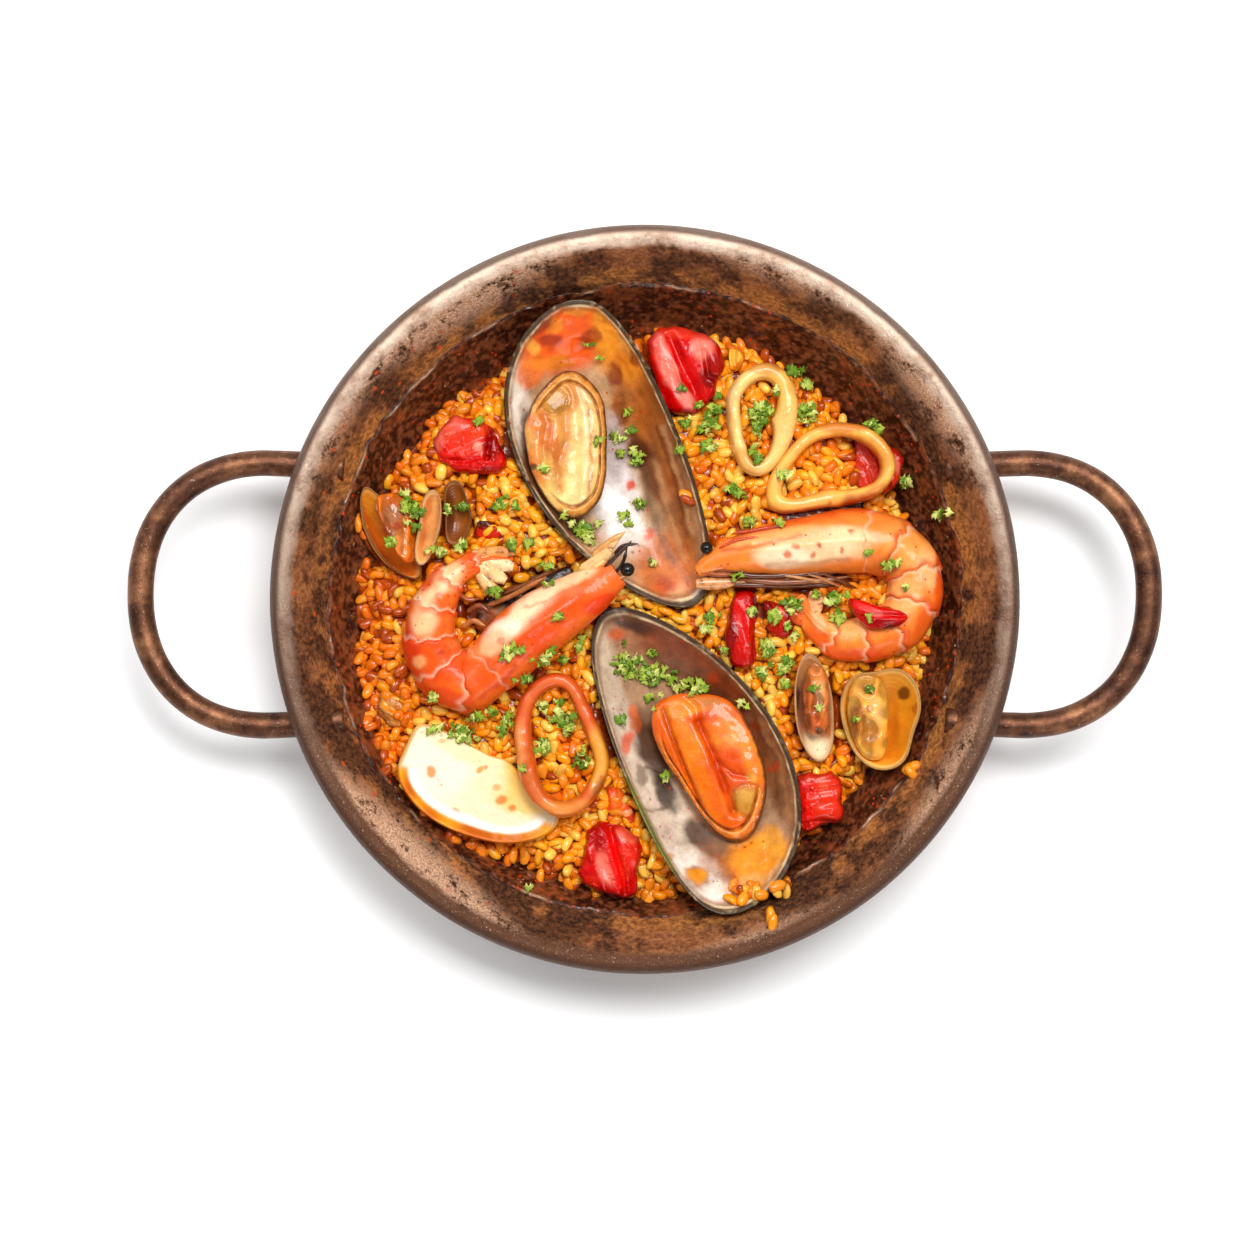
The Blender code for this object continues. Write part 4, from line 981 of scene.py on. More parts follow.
leftPrawn = {
    "node": "prawn_left",
    "route": [
        (0.982, 0.816, 0.72), (0.883, 0.725, 0.67), (0.729, 0.599, 0.58), (0.574, 0.463, 0.53),
        (0.434, 0.291, 0.47), (0.308, 0.156, 0.41), (0.195, 0.219, 0.38), (0.128, 0.382, 0.38),
        (0.132, 0.562, 0.38), (0.195, 0.743, 0.36), (0.308, 0.861, 0.33), (0.406, 0.897, 0.3),
        (0.504, 0.888, 0.3),
    ],
    "widths": [5.0, 7.6, 9.4, 10.4, 10.6, 10, 9, 9.6, 9.3, 8.4, 7, 4.4, 3.5, 3.0],
    "heights": [3.6, 5.6, 7.4, 8.6, 9, 9, 8.8, 9, 8.8, 8, 6.5, 4, 2.2, 1.6],
    "carapace": 0.40, "tail": 0.9, "base": rgb(240, 122, 46),
    "dabs": [
        (252, 228, 190, 0.59, 0.6, 13, 4.2, 42, 0.95), (255, 238, 212, 0.46, 0.47, 6, 3.6, 30, 0.9),
        (250, 220, 176, 0.8, 0.79, 7, 2.6, 25, 0.85), (240, 102, 26, 0.71, 0.56, 12, 4.6, 32, 0.9),
        (232, 78, 16, 0.91, 0.63, 6, 3, 22, 0.9), (236, 92, 20, 0.6, 0.4, 8, 4, 30, 0.8),
        (250, 206, 160, 0.1, 0.54, 4.5, 5.5, -20, 0.85), (252, 214, 168, 0.11, 0.67, 4, 3, 20, 0.8),
        (250, 208, 160, 0.2, 0.8, 5, 6, -35, 0.85), (248, 196, 150, 0.43, 0.4, 6, 3.6, 30, 0.8),
        (250, 176, 110, 0.28, 0.36, 4.5, 3, -20, 0.6), (238, 96, 24, 0.18, 0.29, 10, 7, -20, 0.75),
        (240, 106, 26, 0.41, 0.22, 8, 5, 20, 0.85), (224, 70, 20, 0.04, 0.38, 3, 9, 10, 0.85),
        (230, 84, 22, 0.18, 0.09, 10, 3, -15, 0.8), (250, 190, 130, 0.08, 0.29, 2.6, 2, 0, 0.7),
        (214, 110, 56, 0.32, 0.69, 3, 6, -30, 0.7), (204, 84, 30, 0.46, 0.41, 1.6, 1.3, 0, 0.6),
        (196, 64, 24, 0.18, 0.35, 1, 1, 0, 0.7), (220, 110, 50, 0.17, 0.68, 1, 0.8, 0, 0.8),
    ],
    "streaks": [
        (rgb(222, 82, 26), [(0.1, 0.71), (0.17, 0.85), (0.27, 0.95)], 1.2, 0.8),
        (rgb(206, 104, 50), [(0.57, 0.61), (0.67, 0.64), (0.77, 0.72)], 0.6, 0.5),
        (rgb(206, 74, 18), [(0.36, 0.08), (0.49, 0.2), (0.53, 0.27)], 0.8, 0.7),
    ],
}

prawnEdge = rgb(222, 82, 22)


def makePrawn(prawn):
    # The plates of the tail overlap like roof tiles: each grows as its share^1.5 towards its rear edge.
    name = prawn["node"]
    path = evenPath(shareOfBox(name, prawn["route"]), prawnLook["rows"])
    grid, share, turn = tubeGrid(path, prawn["widths"], prawn["heights"], prawnLook["sides"])
    share = share[:, None]
    slant = 0.014 * np.cos(turn) ** 2 + 0.004 * np.sin(9 * turn)
    along = (share - slant - prawn["carapace"]) / (prawn["tail"] - prawn["carapace"]) * prawnLook["plates"]
    plates = prawnLook["plates"]
    onTail = smoothStep(0, 0.05, along) * (1 - smoothStep(plates, plates + 0.3, along))
    plate = along - np.floor(along)
    step = prawnLook["plateStep"] * (plate**1.5 * (1 - smoothStep(0.93, 1, plate)) - 0.4) * onTail
    ridge = 0.9 * np.exp(-(((turn - math.pi / 2) / 0.16) ** 2)) * (1 - onTail) * smoothStep(0.06, 0.2, share)
    outward = grid - path[:, None]
    outward /= np.linalg.norm(outward, axis=-1, keepdims=True) + 1e-9
    uneven = 0.4 * noise(grid, 8, 101, 2) + 0.15 * noise(grid, 2, 102, 2)
    grid = grid + outward * (step + ridge + uneven)[..., None]
    colours = painted(grid, name, prawn["base"], prawn["dabs"], prawn["streaks"], 1.2, 103)
    colours = mixed(colours, prawnEdge, smoothStep(0.74, 0.92, plate) * onTail * 0.55)
    colours = mixed(colours, rgb(255, 232, 204), (1 - smoothStep(0.0, 0.16, plate)) * onTail * 0.45)
    # The underside of the body is painted darker, as painted shade.
    low = smoothStep(0.1, -0.5, np.sin(turn)) * np.ones(share.shape)
    colours = mixed(colours, rgb(176, 74, 26), low * 0.7)
    piece = putSurface(name + "_shell", grid[::-1], mottled(colours, grid, 3, 0.08, 104)[::-1])
    return finishPiece(piece, prawnFinish, "prawn", name)


def curled(length, width, thick, bend, count):
    # A flat blade along +X that curls upwards: width goes as sin(share)^0.6 and height as bend x^2.
    share = np.linspace(0.02, 0.98, count)
    turn = np.linspace(0, turnFull, 12, endpoint=False)
    half = width * np.sin(share * math.pi * 0.86 + 0.12) ** 0.6
    x = np.broadcast_to((share * length)[:, None], (count, 12))
    y = half[:, None] * np.cos(turn)
    z = thick * np.sin(turn) + (bend * share**2 * length)[:, None] - 0.5 * y**2 / width
    return np.stack([x, y, z], -1)


def turnedBlade(blade, place, yaw, pitch):
    # The blade tipped up by pitch, turned by yaw, both in degrees, and set in its place.
    yaw, pitch = math.radians(yaw), math.radians(pitch)
    tip = np.array([[math.cos(pitch), 0, math.sin(pitch)], [0, 1, 0], [-math.sin(pitch), 0, math.cos(pitch)]])
    swing = np.array([[math.cos(yaw), math.sin(yaw), 0], [-math.sin(yaw), math.cos(yaw), 0], [0, 0, 1]])
    return blade @ tip @ swing + place


prawnFinish = foodFinish("prawnShell", {
    "blotch": 5, "grain": 0.8, "contrast": 0.28, "relief": 0.16, "rough": 0.36, "wet": 0.18, "glow": 0.06,
    "specks": [(rgb(200, 60, 16), 2.3, 0.5, 0.85), (rgb(226, 84, 20), 1.2, 0.55, 0.6)],
})

# Legs and feelers: a route as shares of the prawn's box, a thickness, a flatness and a colour.
rightStrands = [
    ([(0.01, 0.59, 0.77), (0.12, 0.63, 0.79), (0.25, 0.66, 0.74)], 1.3, 0.5, rgb(232, 150, 84)),
    ([(0.01, 0.58, 0.71), (0.1, 0.6, 0.74), (0.21, 0.59, 0.74)], 0.7, 1, rgb(150, 84, 40)),
    (
        [(0.15, 0.58, 0.68), (0.25, 0.56, 0.65), (0.42, 0.57, 0.53), (0.61, 0.59, 0.47)], 1.0, 0.8,
        rgb(112, 62, 30),
    ),
    (
        [(0.17, 0.55, 0.59), (0.32, 0.52, 0.56), (0.49, 0.53, 0.47), (0.64, 0.56, 0.42)], 1.1, 0.8,
        rgb(150, 90, 46),
    ),
    (
        [(0.22, 0.61, 0.61), (0.37, 0.6, 0.56), (0.54, 0.61, 0.5), (0.69, 0.63, 0.42)], 0.8, 0.8,
        rgb(84, 46, 24),
    ),
    (
        [(0.12, 0.51, 0.56), (0.27, 0.5, 0.53), (0.44, 0.5, 0.42), (0.61, 0.51, 0.33)], 0.9, 0.8,
        rgb(120, 68, 34),
    ),
    ([(0.29, 0.58, 0.6), (0.42, 0.55, 0.56), (0.54, 0.51, 0.44)], 0.55, 1, rgb(206, 150, 100)),
    ([(0.37, 0.6, 0.58), (0.47, 0.57, 0.53), (0.59, 0.49, 0.42)], 0.55, 1, rgb(190, 132, 86)),
    ([(0.07, 0.48, 0.53), (0.22, 0.53, 0.56), (0.39, 0.54, 0.51)], 0.6, 1, rgb(226, 176, 130)),
    ([(0.49, 0.6, 0.56), (0.56, 0.55, 0.47), (0.66, 0.48, 0.33)], 0.6, 1, rgb(130, 76, 40)),
    ([(0.15, 0.7, 0.82), (0.23, 0.71, 0.84), (0.26, 0.66, 0.79)], 0.6, 1, rgb(176, 96, 48)),
    ([(0.15, 0.83, 0.79), (0.22, 0.85, 0.81), (0.37, 0.89, 0.82)], 0.5, 1, rgb(206, 80, 30)),
    ([(0.1, 0.74, 0.85), (0.17, 0.79, 0.87), (0.27, 0.81, 0.88)], 0.5, 1, rgb(214, 90, 40)),
]

leftStrands = [
    ([(0.81, 0.83, 0.75), (0.9, 0.91, 0.83), (1, 1.02, 0.92)], 1.2, 0.6, rgb(238, 196, 140)),
    ([(0.87, 0.91, 0.81), (0.94, 0.98, 0.89), (1.02, 1.05, 0.93)], 1.1, 0.5, rgb(226, 172, 108)),
    ([(0.91, 0.82, 0.81), (0.98, 0.91, 0.9), (1.05, 1, 0.95)], 0.7, 1, rgb(84, 52, 30)),
    ([(0.94, 0.78, 0.77), (1, 0.85, 0.86), (1.03, 0.96, 0.92)], 0.6, 1, rgb(56, 34, 22)),
    ([(0.88, 0.76, 0.75), (0.95, 0.77, 0.82), (1.02, 0.79, 0.86)], 0.8, 0.8, rgb(196, 130, 80)),
    ([(0.83, 0.8, 0.76), (0.9, 0.81, 0.84), (0.97, 0.84, 0.88)], 0.7, 0.8, rgb(120, 70, 40)),
    ([(0.97, 0.92, 0.86), (1.01, 0.97, 0.93), (1.08, 0.98, 0.94)], 0.55, 1, rgb(70, 44, 28)),
    ([(0.46, 0.69, 0.24), (0.57, 0.75, 0.41), (0.71, 0.84, 0.58)], 0.7, 0.8, rgb(150, 96, 60)),
    ([(0.38, 0.62, 0.19), (0.5, 0.68, 0.36), (0.66, 0.79, 0.58)], 0.9, 0.8, rgb(196, 130, 80)),
    ([(0.29, 0.58, 0.3), (0.35, 0.62, 0.38), (0.41, 0.57, 0.41)], 0.9, 0.8, rgb(150, 86, 46)),
    ([(0.27, 0.49, 0.3), (0.32, 0.53, 0.41), (0.38, 0.5, 0.47)], 0.9, 0.8, rgb(206, 140, 84)),
    ([(0.24, 0.71, 0.24), (0.29, 0.66, 0.32), (0.35, 0.66, 0.3)], 0.8, 0.8, rgb(176, 100, 54)),
]

# Beads of the eyes and mouth: a place as shares of the prawn's box and a radius in mm.
prawnBeads = [
    ("prawn_right", (0.05, 0.74, 0.77), 2.1), ("prawn_right", (0.09, 0.69, 0.74), 1.6),
    ("prawn_left", (1.03, 0.83, 0.84), 2.3), ("prawn_left", (0.99, 0.77, 0.81), 1.3),
]

# Blades of tail fans and head scales: prawn, place, yaw, pitch, length, half width, bend and colour.
prawnBlades = [
    ("prawn_left", (0.32, 0.9, 0.41), -12, 4, 14, 2.6, 0.04, rgb(250, 222, 176)),
    ("prawn_left", (0.32, 0.88, 0.39), -30, 6, 13, 2.6, 0.05, rgb(246, 210, 156)),
    ("prawn_left", (0.33, 0.85, 0.36), -52, 5, 12, 2.6, 0.05, rgb(240, 196, 138)),
    ("prawn_left", (0.31, 0.93, 0.39), 2, 3, 15, 2.2, 0.03, rgb(236, 170, 104)),
    ("prawn_right", (0.47, 0.28, 0.44), 120, 6, 9, 3.0, 0.05, rgb(240, 140, 70)),
    ("prawn_right", (0.49, 0.3, 0.44), 92, 6, 8.5, 2.8, 0.05, rgb(248, 190, 140)),
    ("prawn_right", (0.45, 0.25, 0.42), 140, 2, 6, 2.4, 0.03, rgb(232, 110, 44)),
    ("prawn_right", (0.17, 0.52, 0.59), 182, 2, 13.5, 2.4, 0.02, rgb(226, 168, 116)),
    ("prawn_right", (0.18, 0.58, 0.68), 176, 3, 14, 1.8, 0.02, rgb(190, 110, 60)),
    ("prawn_left", (0.83, 0.8, 0.77), 42, 12, 13, 2.2, 0.02, rgb(244, 204, 146)),
]


def makeStrands(name, node, strands):
    grids = [
        strand(shareOfBox(node, route), radius, seed=200 + index, flat=flat)[:, ::-1]
        for index, (route, radius, flat, _) in enumerate(strands)
    ]
    colours = np.array([colour for *_, colour in strands])[:, None]
    return finishPiece(joined(name, grids, colours), legFinish, "prawn")


def makeBlades():
    grids = [
        turnedBlade(curled(length, half, 0.35, bend, 22), shareOfBox(node, place), yaw, pitch)
        for node, place, yaw, pitch, length, half, bend, _ in prawnBlades
    ]
    grids = np.array(grids)
    grids[..., 2] += 0.3 * noise(grids, 2.4, 111, 2)
    corners = withPoles(grids)
    tones = np.array([colour for *_, colour in prawnBlades])[:, None] * np.ones(corners.shape)
    vein = smoothStep(0.15, 0.4, noise(corners * [1, 1, 0.3], 1.3, 112, 2))
    tones = mixed(tones, rgb(150, 76, 34), vein * 0.65)
    return finishPiece(joined("prawn_blades", grids, tones), legFinish, "prawn")


def makeBeads():
    # Balls a little uneven: loops of a sphere with their radius moved by noise.
    rise = np.linspace(-1.45, 1.45, 14)
    turn = np.linspace(0, turnFull, 20, endpoint=False)
    flat, tall = np.cos(rise), np.sin(rise)
    x, y = np.outer(flat, np.cos(turn)), np.outer(flat, np.sin(turn))
    ball = np.stack([x, y, np.outer(tall, turn * 0 + 1)], -1)
    grids = np.array([ball * radius + shareOfBox(node, place) for node, place, radius in prawnBeads])
    grids += 0.12 * noise(grids, 1.2, 113, 2)[..., None]
    return finishPiece(joined("prawn_eyes", grids, rgb(26, 16, 14)), legFinish, "prawn")


legFinish = foodFinish("prawnLegs", {
    "blotch": 2.5, "grain": 0.5, "contrast": 0.6, "relief": 0.14, "rough": 0.3, "wet": 0.5,
})

for prawn in (rightPrawn, leftPrawn):
    makePrawn(prawn)
makeStrands("prawn_right_legs", "prawn_right", rightStrands)
makeStrands("prawn_left_legs", "prawn_left", leftStrands)
makeBlades()
makeBeads()
print("prawns made")


# Squid rings.

squidLook = {"columns": 260, "sides": 26, "corner": 0.72, "swell": 0.55}

squidRings = {
    "squid_ring_top": {
        "base": rgb(255, 214, 138), "lean": (10, 3.4),
        "dabs": [
            (246, 206, 130, 0.62, 0.28, 5, 10, -20, 0.85), (240, 178, 72, 0.75, 0.75, 6, 9, 10, 0.7),
            (206, 128, 48, 0.5, 0.96, 9, 2, 0, 0.6), (214, 176, 128, 0.05, 0.7, 2, 9, -10, 0.6),
            (226, 150, 50, 0.25, 0.12, 5, 4, -30, 0.6), (198, 112, 36, 0.02, 0.4, 1.6, 10, 0, 0.5),
        ],
    },
    "squid_ring_right": {
        "base": rgb(252, 194, 98), "lean": (250, 1.2),
        "dabs": [
            (214, 112, 34, 0.55, 0.98, 13, 2.2, 0, 0.7), (246, 186, 96, 0.25, 0.72, 9, 4, 40, 0.7),
            (220, 140, 44, 0.85, 0.62, 5, 8, -20, 0.6), (184, 74, 28, 0.72, 0.12, 6, 2.6, 10, 0.85),
            (190, 84, 34, 0.66, 0.06, 3, 2, 10, 0.7), (244, 184, 100, 0.3, 0.1, 10, 3, 5, 0.6),
            (206, 104, 40, 0.86, 0.22, 4, 3, 30, 0.6),
        ],
    },
    "squid_ring_left": {
        "base": rgb(220, 104, 34), "lean": (200, 1.0),
        "dabs": [
            (228, 102, 38, 0.3, 0.93, 9, 4, 10, 0.8), (226, 96, 40, 0.06, 0.62, 3, 8, 0, 0.65),
            (244, 174, 108, 0.02, 0.45, 2.6, 9, 0, 0.7), (222, 88, 30, 0.55, 0.74, 2.6, 2, 0, 0.7),
            (224, 92, 30, 0.8, 0.7, 2, 2, 0, 0.7), (242, 176, 70, 0.88, 0.4, 4, 10, 0, 0.8),
            (238, 160, 80, 0.5, 0.06, 10, 3, 0, 0.7), (150, 70, 30, 0.9, 0.2, 1.4, 4, -30, 0.7),
            (214, 110, 44, 0.2, 0.2, 3, 6, 30, 0.6),
        ],
    },
}


def makeSquidRing(name, ring):
    # A wall swept round the loop half way between the node's outer and inner outlines; its section is
    # a rounded oblong, |cos|^c and |sin|^c of a turn.
    columns = squidLook["columns"]
    middle, outer = silhouette(name, columns)
    inner = silhouette(name, columns, middle, True)[1]
    out = outer - middle
    out /= np.linalg.norm(out, axis=1, keepdims=True)
    toward, extra = ring["lean"]
    spread = np.linspace(0, turnFull, columns, endpoint=False) - math.radians(toward)
    lean = extra * np.maximum(np.cos(spread), 0)
    outer, inner = outer + squidLook["swell"] * out, inner - (squidLook["swell"] + lean[:, None]) * out
    points = nodePoints(name)[0]
    angle = np.arctan2(points[:, 1] - middle[1], points[:, 0] - middle[0]) % turnFull
    spokes = np.linspace(0, turnFull, columns, endpoint=False)
    apart = np.abs((angle[None] - spokes[:, None] + math.pi) % turnFull - math.pi)
    near = apart < 0.22
    top = np.where(near, points[:, 2], -99).max(1)
    bottom = np.where(near, points[:, 2], 99).min(1)
    for _ in range(30):
        top = (np.roll(top, 1) + 2 * top + np.roll(top, -1)) / 4
        bottom = (np.roll(bottom, 1) + 2 * bottom + np.roll(bottom, -1)) / 4
    turn = np.linspace(0, turnFull, squidLook["sides"], endpoint=False)
    across = (np.sign(np.cos(turn)) * np.abs(np.cos(turn)) ** squidLook["corner"] + 1) / 2
    rise = (np.sign(np.sin(turn)) * np.abs(np.sin(turn)) ** squidLook["corner"] + 1) / 2
    spots = inner[:, None] + (outer - inner)[:, None] * across[:, None]
    height = bottom[:, None] + (top - bottom)[:, None] * rise
    grid = np.concatenate([spots, height[..., None]], -1)
    grid += 0.35 * noise(grid, 7, 121, 2)[..., None] + 0.1 * noise(grid, 1.8, 122, 2)[..., None]
    colours = painted(grid, name, ring["base"], ring["dabs"], (), 1.4, 123)
    # A pale band along the middle of the top is a painted highlight.
    colours = mixed(colours, rgb(252, 214, 150), np.exp(-(((across - 0.5) / 0.2) ** 2)) * (rise > 0.5) * 0.15)
    skin = smoothStep(0.35, 0.6, noise(grid, 4, 124, 3)) * (across > 0.5)
    colours = mixed(colours, rgb(200, 84, 26), skin * 0.65)
    # The inner wall below the top and the lower half of the ring are painted darker, as painted shade.
    colours = mixed(colours, rgb(206, 112, 34), (across < 0.35) * (1 - smoothStep(0.6, 0.95, rise)) * 0.7)
    colours = mixed(colours, rgb(190, 110, 42), smoothStep(0.5, 0.1, rise) * 0.55)
    piece = putSurface(name + "_flesh", grid, mottled(colours, grid, 5, 0.08, 125), True)
    return finishPiece(piece, squidFinish, "squid", name)


squidFinish = foodFinish("squidFlesh", {
    "blotch": 6, "grain": 0.9, "contrast": 0.25, "relief": 0.16, "rough": 0.34, "wet": 0.35, "glow": 0.08,
    "specks": [(redSpeck, 3.4, 0.6, 0.6)],
})

for ringName, squidRing in squidRings.items():
    makeSquidRing(ringName, squidRing)
print("squid rings made")


# Lemon wedge.

lemonLook = {
    "columns": 360, "rows": 150, "rind": 4.2, "rindFrom": 168, "rindTo": 330,
}
lemonProfile = [
    (0.04, 0.0), (0.4, 0.02), (0.6, 0.13), (0.8, 0.34), (0.94, 0.6), (1.0, 0.84), (0.99, 0.93),
    (0.955, 0.985), (0.9, 1.0), (0.5, 1.0), (0.04, 1.0),
]


def makeLemon():
    # One outline scaled and raised along a profile of size and height; the cut face is almost flat.
    name = "lemon_wedge"
    middle, outline = silhouette(name, lemonLook["columns"])
    low, high = nodeBox(name)
    plane = rimPlane(name, middle, outline)
    profile = evenPath(lemonProfile, lemonLook["rows"])
    scale, rise = profile[:, :1], profile[:, 1:]
    spots = middle + scale[..., None] * (outline - middle)
    tall = plane[0] + 2.4 - low[2]
    height = low[2] + rise * tall + rise * ((spots - middle) @ plane[1:])
    grid = np.concatenate([spots, height[..., None]], -1)
    turn = np.degrees(np.linspace(0, turnFull, lemonLook["columns"], endpoint=False))
    arc = smoothStep(lemonLook["rindFrom"] - 3, lemonLook["rindFrom"] + 3, turn)
    arc = arc * (1 - smoothStep(lemonLook["rindTo"] - 4, lemonLook["rindTo"] + 4, turn))
    cut = smoothStep(0.97, 1.0, rise)
    inset = (1 - scale) * np.linalg.norm(outline - middle, axis=1)
    grid[..., 2] += cut * (0.35 * noise(grid, 6, 131, 3) + 0.12 * noise(grid, 1.5, 132, 2))
    grid[..., 2] -= 1.1 * arc * cut * (1 - smoothStep(0, lemonLook["rind"], inset))
    colours = painted(grid, name, rgb(248, 232, 200), [
        (253, 242, 220, 0.24, 0.63, 11, 12, 30, 0.9),
        (250, 228, 182, 0.39, 0.78, 12, 3.5, -25, 0.7),
        (250, 206, 110, 0.73, 0.53, 6, 5, -40, 0.9),
        (250, 214, 130, 0.77, 0.36, 10, 5, -12, 0.9),
        (244, 184, 70, 0.71, 0.63, 4.5, 2.2, -45, 0.8),
        (252, 232, 190, 0.58, 0.53, 5, 8, 10, 0.6),
        (226, 150, 50, 0.21, 0.59, 1.5, 2, 20, 0.85),
        (226, 150, 54, 0.36, 0.27, 1.3, 1.1, 0, 0.85),
        (228, 156, 60, 0.51, 0.6, 1.5, 1, 20, 0.8),
        (228, 156, 60, 0.55, 0.61, 0.8, 0.7, 0, 0.75),
        (226, 140, 40, 0.64, 0.36, 1.8, 1.6, 20, 0.8),
        (228, 130, 40, 0.71, 0.29, 1.2, 1, 0, 0.8),
        (232, 164, 70, 0.61, 0.46, 1.4, 1.2, 0, 0.6),
        (230, 170, 90, 0.28, 0.84, 1.2, 0.8, 20, 0.5),
    ], (), 0.9, 133)
    pith = arc * smoothStep(lemonLook["rind"] * 0.8, lemonLook["rind"] * 1.1, inset + 0 * height)
    pith = pith * (1 - smoothStep(5.5, 7.5, inset)) * cut
    colours = mixed(colours, rgb(255, 253, 248), pith * 0.85)
    peelTone = mixed(rgb(222, 124, 10), rgb(248, 176, 40), smoothStep(-0.3, 0.5, noise(grid, 9, 134, 2)))
    uneven = inset + 0.3 * noise(grid, 4, 135, 2)
    peel = arc * (1 - smoothStep(lemonLook["rind"] * 0.7, lemonLook["rind"], uneven))
    peel = np.maximum(peel, arc * (1 - cut))
    colours = mixed(colours, peelTone, peel)
    flesh = (1 - arc) * (1 - cut)
    colours = mixed(colours, rgb(246, 196, 96), flesh * 0.8)
    piece = putSurface("lemon_wedge_cut", grid, colours)
    return finishPiece(piece, lemonFinish, "lemon", name)


lemonFinish = foodFinish("lemonFlesh", {
    "blotch": 5, "grain": 0.7, "contrast": 0.12, "relief": 0.2, "rough": 0.42, "wet": 0.3, "glow": 0.1,
    "specks": [(rgb(232, 160, 70), 3.0, 0.56, 0.6)],
})
makeLemon()
print("lemon made")


# Clams.

clamLook = {
    "columns": 200, "outerRows": 40, "innerRows": 44, "power": 2.4, "rim": 0.7, "wall": 1.2, "wave": 0.25,
    "ridges": 70,
}

clamShells = {
    # The standing shell's dark brown outside stands partly for the shell's colour and partly for painted
    # shade on the face turned away from the light.
    "clam_shell_standing": {
        "depth": 9, "lean": (-7, -3.5), "inside": rgb(232, 132, 46), "outside": rgb(124, 64, 28),
        "edge": rgb(240, 176, 104),
        "dabs": [(236, 160, 50, 0.15, 0.8, 3, 9, 25, 0.8), (206, 96, 40, 0.55, 0.5, 3, 5, 20, 0.7)],
    },
    "clam_shell_facing": {
        "depth": 7, "lean": (2.2, -0.5), "inside": rgb(238, 176, 112), "outside": rgb(206, 140, 76),
        "edge": rgb(246, 206, 150),
        "dabs": [
            (226, 130, 60, 0.4, 0.6, 1.5, 9, -10, 0.6), (244, 196, 130, 0.6, 0.5, 1.4, 10, -10, 0.6),
        ],
    },
    "clam_shell_thin": {
        "depth": 5, "lean": (0, 0), "inside": rgb(150, 88, 36), "outside": rgb(120, 66, 30),
        "edge": rgb(186, 130, 76),
        "dabs": [(176, 110, 44, 0.6, 0.5, 2.5, 7, 10, 0.7), (110, 58, 26, 0.2, 0.5, 2, 7, 0, 0.7)],
    },
    "clam_shell_narrow": {
        "depth": 9.5, "lean": (-1.5, 0), "inside": rgb(226, 160, 92), "outside": rgb(196, 130, 84),
        "edge": rgb(244, 206, 160),
        "dabs": [
            (250, 232, 196, 0.6, 0.12, 5, 7, 20, 0.95), (222, 158, 130, 0.16, 0.5, 2.2, 11, 0, 0.7),
            (60, 40, 36, 0.04, 0.58, 1.6, 5, 5, 0.85), (240, 190, 130, 0.3, 0.85, 2.6, 5, -20, 0.6),
            (206, 110, 40, 0.75, 0.3, 2.5, 3, 0, 0.6),
        ],
    },
    "clam_shell_wide": {
        "depth": 9.5, "lean": (1.5, 0), "inside": rgb(250, 168, 40), "outside": rgb(176, 112, 52),
        "edge": rgb(248, 206, 130),
        "dabs": [
            (236, 176, 84, 0.62, 0.82, 8, 6, 10, 0.8), (232, 164, 50, 0.8, 0.5, 4, 14, 0, 0.7),
            (206, 122, 30, 0.66, 0.4, 3, 14, 0, 0.6), (120, 60, 20, 0.815, 0.75, 1.8, 2.2, 0, 0.85),
            (240, 170, 60, 0.55, 0.05, 9, 2, 5, 0.7), (196, 96, 26, 0.95, 0.6, 1.4, 2, 0, 0.6),
        ],
    },
}


def makeClamShell(name, clam):
    grid, out, inside = bowlGrid(name, {**clamLook, **clam})
    grid[..., 2] += 0.15 * noise(grid, 5, 141, 3) * inside * (1 - out**6)
    colours = painted(grid, name, clam["inside"], clam["dabs"], (), 0.9, 142)
    rays = 0.5 + 0.5 * np.sin(60 * out + 3 * noise(grid, 8, 143, 2))
    outside = mixed(clam["outside"] * 0.6, clam["outside"] * 1.25, rays)
    colours = np.where(inside[..., None], colours, outside)
    edge = smoothStep(0.93, 0.955, out + 0.008 * noise(grid, 2.4, 144, 2))
    colours = mixed(colours, clam["edge"], edge * 0.85)
    colours = mixed(colours, clam["outside"] * 0.5, smoothStep(0.985, 1, out) * 0.6)
    piece = putSurface(name + "_curve", grid, mottled(colours, grid, 3, 0.12, 145))
    return finishPiece(piece, clamFinish, "clam_shell", name)


